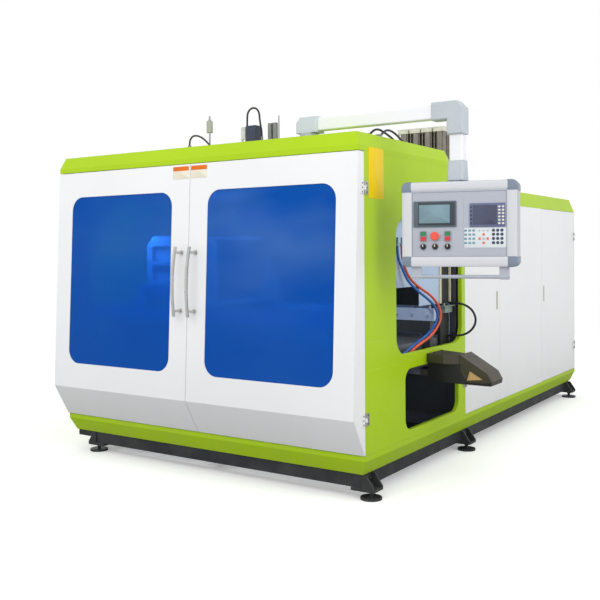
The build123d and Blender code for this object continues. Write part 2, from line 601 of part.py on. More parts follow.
for side, name in ((-1, "left"), (1, "right")):
    outer_x = SIDE_X if side > 0 else LEFT_X
    seam_x = MID_X + side * SEAM / 2
    window_x = outer_x - side * (WINDOW_OUTER_MARGIN + WINDOW_W / 2)
    with BuildPart() as door:
        with BuildSketch(Plane(origin=(min(outer_x, seam_x), FRONT_Y, 0), x_dir=(0, 1, 0), z_dir=(1, 0, 0))):
            with BuildLine():
                Polyline(*DOOR_PROFILE, close=True)
            make_face()
        extrude(amount=abs(outer_x - seam_x))
        offset(amount=-SHEET, openings=door.faces().sort_by(Axis.Y)[-1])
        with BuildSketch(door_plane(window_x, WINDOW_MID_Z, -1)):
            RectangleRounded(WINDOW_W, WINDOW_H, WINDOW_R)
        extrude(amount=-(SHEET + 4), mode=Mode.SUBTRACT)
        for hinge_z in (HINGE_LOW_Z, HINGE_TOP_Z):
            moving_leaf(side, FRONT_SEAM_Y, hinge_z, -1)
    save(door.part, f"{name}_door")

    with BuildPart() as window:
        with BuildSketch(door_plane(window_x, WINDOW_MID_Z, SHEET + WINDOW_LOOSE)):
            RectangleRounded(WINDOW_W + 2 * WINDOW_LAP, WINDOW_H + 2 * WINDOW_LAP, WINDOW_R + WINDOW_LAP)
        extrude(amount=-WINDOW_T)
    save(window.part, f"{name}_window")

    handle_x = MID_X + side * HANDLE_OFF_SEAM
    handle_mid_z = (HANDLE_Z0 + HANDLE_Z1) / 2
    low_end = door_plane(handle_x, HANDLE_Z0, -HANDLE_END_OUT).origin
    mid_point = door_plane(handle_x, handle_mid_z, -HANDLE_MID_OUT).origin
    top_end = door_plane(handle_x, HANDLE_Z1, -HANDLE_END_OUT).origin
    with BuildPart() as handle:
        with BuildLine():
            bow = ThreePointArc(low_end, mid_point, top_end)
        with BuildSketch(Plane(origin=bow @ 0, z_dir=bow % 0)):
            Circle(HANDLE_R)
        sweep(path=bow)
        for post_z in (HANDLE_Z0 + HANDLE_POST_IN, HANDLE_Z1 - HANDLE_POST_IN):
            with BuildSketch(door_plane(handle_x, post_z)):
                Circle(HANDLE_POST_R)
            extrude(amount=HANDLE_END_OUT + 5)
            with BuildSketch(door_plane(handle_x, post_z)):
                Circle(HANDLE_FLANGE_R)
            extrude(amount=5)
    save(handle.part, f"{name}_handle")

# Cabinet doors: trays with a latch cup and hinge leaves, and the latch paddles
LATCH_CUP = 14.0
LATCH_WALL = 3.0
PADDLE_T = 8.0
PADDLE_PLAY = 1.5
PADDLE_PIN_R = 2.5
PADDLE_PIN_LONG = 3.0
for name, y0, y1, hinge_y, toward, latch_y in (
    ("front", JOIN_Y + PANEL_GAP / 2, A_POST_Y - PANEL_GAP / 2, CABINET_SEAM_A, 1, A_POST_Y - LATCH_EDGE),
    ("rear", B_POST_Y + PANEL_GAP / 2, DOOR_B_Y1 - PANEL_GAP, CABINET_SEAM_B, -1, B_POST_Y + LATCH_EDGE),
):
    half_w = LATCH_W / 2
    half_h = LATCH_H / 2
    pin_z = LATCH_Z + half_h - 9.0
    pin_x = SIDE_X - PADDLE_T / 2 - 2.0
    with BuildPart() as door:
        block(SIDE_X - PANEL_DEPTH, SIDE_X, y0, y1, SKIRT_TOP_Z + PANEL_GAP, REAR_WHITE_TOP_Z - PANEL_GAP)
        offset(amount=-SHEET, openings=door.faces().sort_by(Axis.X)[0])
        block(SIDE_X - LATCH_CUP - LATCH_WALL, SIDE_X, latch_y - half_w - LATCH_WALL,
              latch_y + half_w + LATCH_WALL, LATCH_Z - half_h - LATCH_WALL, LATCH_Z + half_h + LATCH_WALL)
        block(SIDE_X - LATCH_CUP, SIDE_X + 1, latch_y - half_w, latch_y + half_w, LATCH_Z - half_h,
              LATCH_Z + half_h, mode=Mode.SUBTRACT)
        rod_y(pin_x, pin_z, latch_y - half_w - LATCH_WALL - 1, latch_y + half_w + LATCH_WALL + 1,
              PADDLE_PIN_R + PIN_LOOSE, mode=Mode.SUBTRACT)
        for hinge_z in CABINET_HINGE_Z:
            moving_leaf(1, hinge_y, hinge_z, toward)
    save(door.part, f"{name}_cabinet_door")

    with BuildPart() as latch:
        block(pin_x - PADDLE_T / 2, pin_x + PADDLE_T / 2, latch_y - half_w + PADDLE_PLAY,
              latch_y + half_w - PADDLE_PLAY, LATCH_Z - half_h + PADDLE_PLAY, pin_z)
        rod_y(pin_x, pin_z, latch_y - half_w + PADDLE_PLAY, latch_y + half_w - PADDLE_PLAY, PADDLE_T / 2)
        rod_y(pin_x, pin_z, latch_y - half_w - PADDLE_PIN_LONG + 0.5, latch_y + half_w + PADDLE_PIN_LONG - 0.5,
              PADDLE_PIN_R)
    save(latch.part, f"{name}_latch")

# Shuttle rails: two bolted beams along X on short legs that stand on the side rails
RAIL_X0 = FRAME_X0
RAIL_X1 = SIDE_X - RAIL_END_GAP
GUIDE_W = 28.0
GUIDE_H = 18.0
RAIL_BOLT_PITCH = 118.0
RAIL_BOLT_R = 13.0
with BuildPart() as shuttle_rails:
    for rail_y in (CLAMP_Y - RAIL_SPREAD, CLAMP_Y + RAIL_SPREAD):
        block(RAIL_X0, RAIL_X1, rail_y - RAIL_W / 2, rail_y + RAIL_W / 2, RAIL_TOP_Z - RAIL_H, RAIL_TOP_Z)
        block(RAIL_X0, RAIL_X1 - 40, rail_y - GUIDE_W / 2, rail_y + GUIDE_W / 2, RAIL_TOP_Z,
              RAIL_TOP_Z + GUIDE_H)
        for leg_x in (FRAME_X0, FRAME_X1 - POST):
            block(leg_x, leg_x + POST, rail_y - POST / 2, rail_y + POST / 2,
                  SIDE_RAIL_Z1, RAIL_TOP_Z - RAIL_H)
        for bolt in range(3):
            rod_y(RAIL_X1 - 55 - bolt * RAIL_BOLT_PITCH, RAIL_TOP_Z - RAIL_H / 2, rail_y - RAIL_W / 2 - 9,
                  rail_y - RAIL_W / 2, RAIL_BOLT_R)
save(shuttle_rails.part, "shuttle_rails")

# Carriage: a frame on four guide shoes, end plates for the tie bars, and the clamp cylinder
CARRIAGE_X = 330.0
CARRIAGE_BAR = 44.0
CARRIAGE_Z0 = 1112.0
CARRIAGE_Z1 = 1148.0
END_PLATE_Y0 = 400.0
END_PLATE_T = 50.0
SHOE_LOOSE = 0.3
ROD_R = 30.0
CYLINDER_R = 62.0
CYLINDER_LONG = 270.0
CYLINDER_Z = (PLATEN_Z0 + PLATEN_Z1) / 2 + 20.0
with BuildPart() as carriage:
    for side in (-1, 1):
        x0, x1 = sorted((BLOW_X + side * CARRIAGE_X, BLOW_X + side * (CARRIAGE_X - CARRIAGE_BAR)))
        block(x0, x1, CLAMP_Y - RAIL_SPREAD - 50, CLAMP_Y + RAIL_SPREAD + 50, CARRIAGE_Z0, CARRIAGE_Z1)
        for rail_y in (CLAMP_Y - RAIL_SPREAD, CLAMP_Y + RAIL_SPREAD):
            centre_x = BLOW_X + side * (CARRIAGE_X - 60)
            block(centre_x - 60, centre_x + 60, rail_y - 40, rail_y + 40, RAIL_TOP_Z + SHOE_LOOSE, CARRIAGE_Z1)
            block(centre_x - 61, centre_x + 61, rail_y - GUIDE_W / 2 - SHOE_LOOSE,
                  rail_y + GUIDE_W / 2 + SHOE_LOOSE, RAIL_TOP_Z, RAIL_TOP_Z + GUIDE_H + SHOE_LOOSE,
                  mode=Mode.SUBTRACT)
    for side, top_z in ((-1, TIE_Z + 60), (1, PLATEN_Z1 - 30)):
        y0, y1 = sorted((CLAMP_Y + side * END_PLATE_Y0, CLAMP_Y + side * (END_PLATE_Y0 + END_PLATE_T)))
        block(BLOW_X - CARRIAGE_X, BLOW_X + CARRIAGE_X, y0, y1, CARRIAGE_Z1, top_z)
    # the tall rear plate narrows above the tie bars
    for side in (-1, 1):
        x0, x1 = sorted((BLOW_X + side * 190, BLOW_X + side * (CARRIAGE_X + 1)))
        block(x0, x1, CLAMP_Y + END_PLATE_Y0 - 1, CLAMP_Y + END_PLATE_Y0 + END_PLATE_T + 1, TIE_Z + 130,
              PLATEN_Z1, mode=Mode.SUBTRACT)
    rod_y(BLOW_X, CYLINDER_Z, CLAMP_Y + END_PLATE_Y0 - 1, CLAMP_Y + END_PLATE_Y0 + END_PLATE_T + 1,
          ROD_R + PIN_LOOSE, mode=Mode.SUBTRACT)
    for side in (-1, 1):
        rod_y(BLOW_X + side * TIE_X, TIE_Z, CLAMP_Y - END_PLATE_Y0 - END_PLATE_T - 1,
              CLAMP_Y + END_PLATE_Y0 + END_PLATE_T + 1, TIE_R, mode=Mode.SUBTRACT)
CYLINDER_Y0 = CLAMP_Y + END_PLATE_Y0 + END_PLATE_T
with BuildPart() as clamp_cylinder:
    rod_y(BLOW_X, CYLINDER_Z, CYLINDER_Y0, CYLINDER_Y0 + CYLINDER_LONG, CYLINDER_R)
    block(BLOW_X - 75, BLOW_X + 75, CYLINDER_Y0, CYLINDER_Y0 + 30, CYLINDER_Z - 75, CYLINDER_Z + 75)
    block(BLOW_X - 75, BLOW_X + 75, CYLINDER_Y0 + CYLINDER_LONG, CYLINDER_Y0 + CYLINDER_LONG + 36,
          CYLINDER_Z - 75, CYLINDER_Z + 75)
    rod_y(BLOW_X, CYLINDER_Z, CYLINDER_Y0 - 1, CYLINDER_Y0 + CYLINDER_LONG - 10, ROD_R + 12, mode=Mode.SUBTRACT)
save(Compound(children=[carriage.part, clamp_cylinder.part]), "carriage")

# Tie bars: two ground bars along Y with a nut at each end
TIE_NUT = 26.0
with BuildPart() as tie_bars:
    for side in (-1, 1):
        half_y = END_PLATE_Y0 + END_PLATE_T
        rod_y(BLOW_X + side * TIE_X, TIE_Z, CLAMP_Y - half_y, CLAMP_Y + half_y, TIE_R)
        for end in (-1, 1):
            y0, y1 = sorted((CLAMP_Y + end * half_y, CLAMP_Y + end * (half_y + TIE_NUT)))
            rod_y(BLOW_X + side * TIE_X, TIE_Z, y0, y1, TIE_R + 14)
save(tie_bars.part, "tie_bars")

# Platens and mould halves, shown open: each half stands off the parting plane by the opening stroke
SHOULDER = 46.0
MOULD_TOP_Z = MOULD_Z0 + MOULD_H
CAVITY_Z0 = MOULD_TOP_Z - BOTTLE_H - SHOULDER - 30.0
BOTTLE = [
    (0, CAVITY_Z0),
    (BOTTLE_R, CAVITY_Z0),
    (BOTTLE_R, CAVITY_Z0 + BOTTLE_H),
    (NECK_R, CAVITY_Z0 + BOTTLE_H + SHOULDER),
    (NECK_R, MOULD_TOP_Z + 1),
    (0, MOULD_TOP_Z + 1),
]
CAVITY_X = [BLOW_X + (i - (CAVITIES - 1) / 2) * CAVITY_PITCH for i in range(CAVITIES)]
BUSH_R = TIE_R + 22.0
for side, name in ((-1, "front"), (1, "rear")):
    parting_y = CLAMP_Y + side * OPEN_STROKE
    back_y = parting_y + side * MOULD_T
    platen_y = back_y + side * PLATEN_T
    with BuildPart() as mould:
        y0, y1 = sorted((parting_y, back_y))
        block(BLOW_X - MOULD_W / 2, BLOW_X + MOULD_W / 2, y0, y1, MOULD_Z0, MOULD_TOP_Z)
        for cavity_x in CAVITY_X:
            with BuildSketch(Plane(origin=(cavity_x, parting_y, 0), x_dir=(1, 0, 0), z_dir=(0, -1, 0))):
                with BuildLine():
                    Polyline(*BOTTLE, close=True)
                make_face()
            revolve(axis=Axis((cavity_x, parting_y, 0), (0, 0, 1)), mode=Mode.SUBTRACT)
        block(BLOW_X - MOULD_W / 2 - 1, BLOW_X + MOULD_W / 2 + 1, y0 if side > 0 else y1 - 14,
              y0 + 14 if side > 0 else y1, MOULD_TOP_Z - 26, MOULD_TOP_Z - 18, mode=Mode.SUBTRACT)
    save(mould.part, f"{name}_mould")

    with BuildPart() as platen:
        y0, y1 = sorted((back_y, platen_y))
        block(BLOW_X - PLATEN_W / 2, BLOW_X + PLATEN_W / 2, y0, y1, PLATEN_Z0 + 5, PLATEN_Z1)
        chamfer(platen.edges().filter_by(Axis.Y).group_by(Axis.Z)[-1], 60)
        for tie_side in (-1, 1):
            tie_x = BLOW_X + tie_side * TIE_X
            bush_y = platen_y - side * (PLATEN_T + 26)
            y0, y1 = sorted((bush_y, platen_y))
            rod_y(tie_x, TIE_Z, y0, y1, BUSH_R - 8)
            rod_y(tie_x, TIE_Z, y0 - 1, y1 + 1, TIE_R + PIN_LOOSE, mode=Mode.SUBTRACT)
            # pockets that leave the ribs of a cast platen on its outer face
            for row_z in (1300.0, 1440.0):
                with Locations((BLOW_X + tie_side * 165, platen_y, row_z + 40)):
                    Box(190, 60, 110, mode=Mode.SUBTRACT)
    if side > 0:
        with BuildPart() as clamp_rod:
            rod_y(BLOW_X, CYLINDER_Z, platen_y, CYLINDER_Y0 + OPEN_STROKE + 30, ROD_R)
        save(Compound(children=[platen.part, clamp_rod.part]), f"{name}_platen")
    else:
        save(platen.part, f"{name}_platen")

# Die head: manifold block with four stepped dies and the adapter to the extruder
HEAD_Z0 = 1704.0
HEAD_Z1 = 1860.0
HEAD_HALF_X = 290.0
HEAD_HALF_Y = 85.0
DIE_TIP_Z = 1622.0
ADAPTER_R = 60.0
BARREL_Y0 = CLAMP_Y + HEAD_HALF_Y + 60.0
with BuildPart() as die_head:
    block(DIE_X - HEAD_HALF_X, DIE_X + HEAD_HALF_X, CLAMP_Y - HEAD_HALF_Y, CLAMP_Y + HEAD_HALF_Y, HEAD_Z0, HEAD_Z1)
    chamfer(die_head.edges().filter_by(Axis.X).group_by(Axis.Z)[-1], 30)
    rod_y(DIE_X, EXTRUDER_Z, CLAMP_Y + HEAD_HALF_Y, BARREL_Y0, ADAPTER_R)
    for i in range(CAVITIES):
        die_x = DIE_X + (i - (CAVITIES - 1) / 2) * CAVITY_PITCH
        post(die_x, CLAMP_Y, DIE_TIP_Z + 30, HEAD_Z0, 48)
        post(die_x, CLAMP_Y, DIE_TIP_Z, DIE_TIP_Z + 30, 30)
        post(die_x, CLAMP_Y, DIE_TIP_Z - 1, DIE_TIP_Z + 20, 20, mode=Mode.SUBTRACT)
        post(die_x, CLAMP_Y, DIE_TIP_Z, DIE_TIP_Z + 20, 15)
save(die_head.part, "die_head")

# Extruder barrel with its feed block, and heater bands round it
BARREL_R = 72.0
BAND_R = 92.0
BAND_W = 150.0
BAND_PITCH = 215.0
BAND_COUNT = 7
BARREL_Y1 = HOPPER_Y + 140.0
with BuildPart() as barrel:
    rod_y(DIE_X, EXTRUDER_Z, BARREL_Y0, BARREL_Y1, BARREL_R)
    block(DIE_X - 110, DIE_X + 110, HOPPER_Y - 120, BARREL_Y1, EXTRUDER_Z - 100, EXTRUDER_Z + 100)
with BuildPart() as bands:
    for i in range(BAND_COUNT):
        band_y = BARREL_Y0 + 60 + i * BAND_PITCH
        rod_y(DIE_X, EXTRUDER_Z, band_y, band_y + BAND_W, BAND_R)
        rod_y(DIE_X, EXTRUDER_Z, band_y - 1, band_y + BAND_W + 1, BARREL_R + WINDOW_LOOSE, mode=Mode.SUBTRACT)
save(Compound(children=[barrel.part, bands.part]), "extruder_barrel")

# Extruder drive: gearbox on a pedestal, and a ribbed motor behind it
GEAR_Y1 = BARREL_Y1 + 420.0
MOTOR_Y1 = GEAR_Y1 + 460.0
MOTOR_R = 140.0
MOTOR_Z = EXTRUDER_Z - 60.0
with BuildPart() as gearbox:
    block(DIE_X - 200, DIE_X + 200, BARREL_Y1, GEAR_Y1, EXTRUDER_Z - 280, EXTRUDER_Z + 105)
    chamfer(gearbox.edges().filter_by(Axis.Y), 30)
    block(DIE_X - 160, DIE_X + 160, DRIVE_BEAM_Y - 150, DRIVE_BEAM_Y + 150, BEAM_Z1, EXTRUDER_Z - 280)
with BuildPart() as motor:
    rod_y(DIE_X, MOTOR_Z, GEAR_Y1, MOTOR_Y1, MOTOR_R)
    rod_y(DIE_X, MOTOR_Z, GEAR_Y1, GEAR_Y1 + 24, MOTOR_R + 26)
    block(DIE_X - 60, DIE_X + 60, GEAR_Y1 + 150, GEAR_Y1 + 290, MOTOR_Z + MOTOR_R - 20, MOTOR_Z + MOTOR_R + 30)
save(Compound(children=[gearbox.part, motor.part]), "extruder_drive")

# Hopper: square throat through the roof, cone, drum and lid
HOPPER_R = 225.0
HOPPER_LIFT = 36.0
CONE_H = 230.0
DRUM_H = 180.0
LID_T = 12.0
CONE_Z0 = REAR_ROOF_Z + HOPPER_LIFT
CONE_Z1 = CONE_Z0 + CONE_H
HOPPER_TOP_Z = CONE_Z1 + DRUM_H
with BuildPart() as hopper:
    with BuildSketch(Plane.XZ.offset(-HOPPER_Y)):
        with BuildLine():
            Polyline(
                (DIE_X, CONE_Z0),
                (DIE_X + 70, CONE_Z0),
                (DIE_X + HOPPER_R, CONE_Z1),
                (DIE_X + HOPPER_R, HOPPER_TOP_Z - LID_T),
                (DIE_X + HOPPER_R - 4, HOPPER_TOP_Z - LID_T),
                (DIE_X + HOPPER_R - 4, CONE_Z1 + 2),
                (DIE_X + 66, CONE_Z0 + 4),
                (DIE_X, CONE_Z0 + 4),
                close=True,
            )
        make_face()
    revolve(axis=Axis((DIE_X, HOPPER_Y, 0), (0, 0, 1)))
    block(DIE_X - HOPPER_THROAT / 2, DIE_X + HOPPER_THROAT / 2, HOPPER_Y - HOPPER_THROAT / 2,
          HOPPER_Y + HOPPER_THROAT / 2, EXTRUDER_Z + 100, CONE_Z0)
    post(DIE_X, HOPPER_Y, EXTRUDER_Z + 99, CONE_Z0 + 10, 55, mode=Mode.SUBTRACT)
with BuildPart() as hopper_lid:
    post(DIE_X, HOPPER_Y, HOPPER_TOP_Z - LID_T, HOPPER_TOP_Z, HOPPER_R + 8)
    block(DIE_X - 60, DIE_X + 60, HOPPER_Y - 8, HOPPER_Y + 8, HOPPER_TOP_Z, HOPPER_TOP_Z + 24)
    block(DIE_X - 45, DIE_X + 45, HOPPER_Y - 9, HOPPER_Y + 9, HOPPER_TOP_Z, HOPPER_TOP_Z + 14, mode=Mode.SUBTRACT)
save(Compound(children=[hopper.part, hopper_lid.part]), "hopper")

# Blow bridge: two bars under the roof beams, a cross beam and its bushes
BRIDGE_Z0 = 1880.0
BRIDGE_Z1 = 1940.0
GUIDE_X = 160.0
BLOW_ROD_R = 20.0
GUIDE_ROD_R = 12.0
HANGER_W = 50.0
with BuildPart() as blow_bridge:
    block(BLOW_X - 320, BLOW_X + 320, CLAMP_Y - 50, CLAMP_Y + 50, BRIDGE_Z0, BRIDGE_Z1)
    for side in (-1, 1):
        bar_x = BLOW_X + side * 290
        block(bar_x - HANGER_W / 2, bar_x + HANGER_W / 2, FRAME_Y0, ROOF_BEAM_Y + POST, BRIDGE_Z1,
              FRAME_TOP - POST)
        post(BLOW_X + side * GUIDE_X, CLAMP_Y, BRIDGE_Z0 - 20, BRIDGE_Z1 + 20, GUIDE_ROD_R + 14)
        post(BLOW_X + side * GUIDE_X, CLAMP_Y, BRIDGE_Z0 - 21, BRIDGE_Z1 + 21, GUIDE_ROD_R + PIN_LOOSE,
             mode=Mode.SUBTRACT)
    post(BLOW_X, CLAMP_Y, BRIDGE_Z1, BRIDGE_Z1 + 150, 44)
    post(BLOW_X, CLAMP_Y, BRIDGE_Z0 - 1, BRIDGE_Z1 + 151, BLOW_ROD_R + PIN_LOOSE, mode=Mode.SUBTRACT)
save(blow_bridge.part, "blow_bridge")

# Blow pins: plate with four pins, two guide rods and the rod that rises through the roof
PIN_PLATE_Z0 = 1735.0
PIN_PLATE_Z1 = 1762.0
PIN_TIP_Z = 1604.0
THIN_ROD_R = 7.0
THIN_ROD_Z = ROOF_Z - 60.0
STOP_Z0 = ROOF_Z + 195.0
STOP_Z1 = STOP_Z0 + 85.0
ROD_TOP_Z = STOP_Z1 + 40.0
with BuildPart() as blow_pins:
    block(BLOW_X - 240, BLOW_X + 240, CLAMP_Y - 36, CLAMP_Y + 36, PIN_PLATE_Z0, PIN_PLATE_Z1)
    for pin_x in CAVITY_X:
        post(pin_x, CLAMP_Y, PIN_TIP_Z, PIN_PLATE_Z0, PIN_PITCH_R)
        post(pin_x, CLAMP_Y, PIN_PLATE_Z0 - 25, PIN_PLATE_Z0, 18)
    for side in (-1, 1):
        post(BLOW_X + side * GUIDE_X, CLAMP_Y, PIN_PLATE_Z1, BRIDGE_Z0 + PIN_TRAVEL + 30, GUIDE_ROD_R)
    post(BLOW_X, CLAMP_Y, PIN_PLATE_Z1, THIN_ROD_Z, BLOW_ROD_R)
    post(BLOW_X, CLAMP_Y, THIN_ROD_Z, ROD_TOP_Z, THIN_ROD_R)
    post(BLOW_X, CLAMP_Y, STOP_Z0, STOP_Z1, 24)
    post(BLOW_X, CLAMP_Y, STOP_Z1, STOP_Z1 + 12, 14)
save(blow_pins.part, "blow_pins")

# Places of the service panel and the hoses in the side opening
PLATE_X = SIDE_X - 82.0
COLUMN_Y0 = FRONT_Y + 1264.0
COLUMN_Y1 = FRONT_Y + 1430.0
PLATE_Z0 = 1112.0
PLATE_STEP_Y = FRONT_Y + 905.0
PLATE_STEP_Z = 1250.0
SHELF_Z = PLATE_Z0 - 18.0
HOSE_R = 9.0
LOOP_R = 8.0

# Discharge chute: bolted bracket, trough with end hood, and the inner slide
CHUTE_Y0 = FRONT_Y + 850.0
CHUTE_Y1 = FRONT_Y + 1050.0
CHUTE_T = 4.0
HOOD = [(235, 806), (425, 694), (456, 640), (450, 612), (278, 612), (235, 636)]
HOOD_GAP = [(300, 706), (398, 650), (278, 636)]
TROUGH = [(-330, 664), (235, 636), (235, 690), (-330, 694)]
TROUGH_INSIDE = [(-331, 664 + CHUTE_T), (236, 636 + CHUTE_T), (236, 691), (-331, 695)]
BRACKET_PLAN = [(0, 844), (0, 1084), (200, 1000), (246, 990), (246, 862), (140, 806)]
BRACKET_TOP_Z = 800.0
BRACKET_H = 58.0
with BuildPart() as chute:
    with BuildSketch(Plane(origin=(SIDE_X, CHUTE_Y1, 0), x_dir=(1, 0, 0), z_dir=(0, -1, 0))):
        with BuildLine():
            Polyline(*HOOD, close=True)
        make_face()
    extrude(amount=CHUTE_Y1 - CHUTE_Y0)
    offset(amount=-CHUTE_T, openings=chute.faces().sort_by(Axis.X)[0])
    with BuildSketch(Plane(origin=(SIDE_X, CHUTE_Y0 - 1, 0), x_dir=(1, 0, 0), z_dir=(0, -1, 0))):
        with BuildLine():
            Polyline(*HOOD_GAP, close=True)
        make_face()
    extrude(amount=-(CHUTE_T + 2), mode=Mode.SUBTRACT)
    # the trough from the machine into the hood, open at its top
    with BuildSketch(Plane(origin=(SIDE_X, CHUTE_Y1, 0), x_dir=(1, 0, 0), z_dir=(0, -1, 0))):
        with BuildLine():
            Polyline(*TROUGH, close=True)
        make_face()
    extrude(amount=CHUTE_Y1 - CHUTE_Y0)
    with BuildSketch(Plane(origin=(SIDE_X, CHUTE_Y1 - CHUTE_T, 0), x_dir=(1, 0, 0), z_dir=(0, -1, 0))):
        with BuildLine():
            Polyline(*TROUGH_INSIDE, close=True)
        make_face()
    extrude(amount=CHUTE_Y1 - CHUTE_Y0 - 2 * CHUTE_T, mode=Mode.SUBTRACT)
    # the folded bracket that carries it on the bar between the side openings
    with BuildSketch(Plane(origin=(SIDE_X, FRONT_Y, BRACKET_TOP_Z))):
        with BuildLine():
            Polyline(*BRACKET_PLAN, close=True)
        make_face()
    extrude(amount=-CHUTE_T)
    with BuildSketch(Plane(origin=(SIDE_X, FRONT_Y, BRACKET_TOP_Z))):
        with BuildLine():
            Polyline((0, 844), (0, 844 + CHUTE_T), (140, 806 + CHUTE_T), (246, 862 + CHUTE_T), (246, 862),
                     (140, 806), close=True)
        make_face()
    extrude(amount=-BRACKET_H)
    block(SIDE_X, SIDE_X + CHUTE_T, FRONT_Y + 844, FRONT_Y + 1084, BRACKET_TOP_Z - BRACKET_H, BRACKET_TOP_Z)
    for bolt_y in (FRONT_Y + 900, FRONT_Y + 1020):
        post(SIDE_X + 34, bolt_y, BRACKET_TOP_Z, BRACKET_TOP_Z + 8, 9)

# Inner slide that leads the bottles out, hung between the side rails, falling towards the discharge side
SLIDE_Y0 = FRONT_Y + 300.0
SLIDE_Y1 = FRONT_Y + 1259.0
SLIDE_X0 = FRAME_X0 + POST
SLIDE_X1 = FRAME_X1 - POST
SLIDE_HIGH_Z = 972.0
SLIDE_LOW_Z = 864.0
SLIDE_LIP = 22.0
with BuildPart() as slide:
    with BuildSketch(Plane.XZ.offset(-SLIDE_Y0)):
        with BuildLine():
            Polyline(
                (SLIDE_X0, SIDE_RAIL_Z1 - POST),
                (SLIDE_X0, SLIDE_HIGH_Z),
                (SLIDE_X1, SLIDE_LOW_Z),
                (SLIDE_X1, SIDE_RAIL_Z1 - POST),
                (SLIDE_X1 - CHUTE_T, SIDE_RAIL_Z1 - POST),
                (SLIDE_X1 - CHUTE_T, SLIDE_LOW_Z - CHUTE_T),
                (SLIDE_X0 + CHUTE_T, SLIDE_HIGH_Z - CHUTE_T),
                (SLIDE_X0 + CHUTE_T, SIDE_RAIL_Z1 - POST),
                close=True,
            )
        make_face()
    extrude(amount=-(SLIDE_Y1 - SLIDE_Y0))
    for lip_y in (SLIDE_Y0, SLIDE_Y1 - CHUTE_T):
        with BuildSketch(Plane.XZ.offset(-lip_y)):
            with BuildLine():
                Polyline(
                    (SLIDE_X0, SLIDE_HIGH_Z - CHUTE_T),
                    (SLIDE_X0, SLIDE_HIGH_Z + SLIDE_LIP),
                    (SLIDE_X1, SLIDE_LOW_Z + SLIDE_LIP),
                    (SLIDE_X1, SLIDE_LOW_Z - CHUTE_T),
                    close=True,
                )
            make_face()
        extrude(amount=-CHUTE_T)
save(Compound(children=[chute.part, slide.part]), "chute")

# Hydraulic unit behind the front cabinet door: tank, motor with pump, and a valve block
TANK_X0 = SIDE_X - 740.0
TANK_X1 = SIDE_X - 150.0
TANK_Y0 = JOIN_Y + 60.0
TANK_Y1 = A_POST_Y - 90.0
TANK_TOP_Z = 620.0
PUMP_Z = TANK_TOP_Z + 150.0
with BuildPart() as tank:
    block(TANK_X0, TANK_X1, TANK_Y0, TANK_Y1, BEAM_Z1, TANK_TOP_Z)
    chamfer(tank.edges().filter_by(Axis.Z), 20)
    block(TANK_X0 + 60, TANK_X0 + 420, TANK_Y0 + 80, TANK_Y0 + 260, TANK_TOP_Z, TANK_TOP_Z + 40)
    rod_x(TANK_Y0 + 170, PUMP_Z, TANK_X0 + 50, TANK_X0 + 360, 110)
    rod_x(TANK_Y0 + 170, PUMP_Z, TANK_X0 + 360, TANK_X0 + 520, 55)
    block(TANK_X1 - 260, TANK_X1 - 40, TANK_Y1 - 220, TANK_Y1 - 60, TANK_TOP_Z, TANK_TOP_Z + 160)
    for valve_y in (TANK_Y1 - 190, TANK_Y1 - 120):
        rod_x(valve_y, TANK_TOP_Z + 120, TANK_X1 - 40, TANK_X1 + 40, 24)
    post(TANK_X1 - 80, TANK_Y0 + 70, TANK_TOP_Z, TANK_TOP_Z + 70, 34)
save(tank.part, "hydraulic_unit")

# Electrical rack behind the rear cabinet door: mounting plate with rows of modules and wire ducts
RACK_X = SIDE_X - 380.0
RACK_Y0 = B_POST_Y + BULKHEAD / 2
RACK_Y1 = REAR_POST_Y - 20.0
RACK_Z0 = 340.0
RACK_Z1 = 1800.0
RACK_ROWS = 4
RACK_PITCH = 340.0
MODULE_COLUMNS = 5
with BuildPart() as electrical_rack:
    block(RACK_X - 5, RACK_X, RACK_Y0, RACK_Y1, RACK_Z0, RACK_Z1)
    for row in range(RACK_ROWS):
        row_z = RACK_Z0 + 150 + row * RACK_PITCH
        block(RACK_X, RACK_X + 60, RACK_Y0 + 60, RACK_Y1 - 60, row_z + 150, row_z + 200)
        for column in range(MODULE_COLUMNS):
            module_y = RACK_Y0 + 150 + column * 150
            module_w = 110 if (row + column) % 2 else 70
            block(RACK_X, RACK_X + 80 + 20 * (row % 2), module_y - module_w / 2, module_y + module_w / 2,
                  row_z - 70, row_z + 80)
save(electrical_rack.part, "electrical_rack")

# Pendant arm: base flange with turret and spigot on the roof
SPIGOT_R = 25.0
SPIGOT_TOP_Z = TURRET_TOP_Z + 38.0
SWIVEL_LIFT = 0.3
with BuildPart() as arm_base:
    block(ARM_PIVOT_X - 100, ARM_PIVOT_X + 100, ARM_Y - 100, ARM_Y + 100, ROOF_Z, ROOF_Z + 12)
    fillet(arm_base.edges().filter_by(Axis.Z), 20)
    post(ARM_PIVOT_X, ARM_Y, ROOF_Z + 12, TURRET_TOP_Z, 62)
    post(ARM_PIVOT_X, ARM_Y, TURRET_TOP_Z, SPIGOT_TOP_Z, SPIGOT_R)
    with BuildSketch(Plane.XY.offset(ROOF_Z + 12)):
        with Locations((ARM_PIVOT_X, ARM_Y)):
            with GridLocations(150, 150, 2, 2):
                RegularPolygon(13, 6)
    extrude(amount=9)
save(arm_base.part, "arm_base")

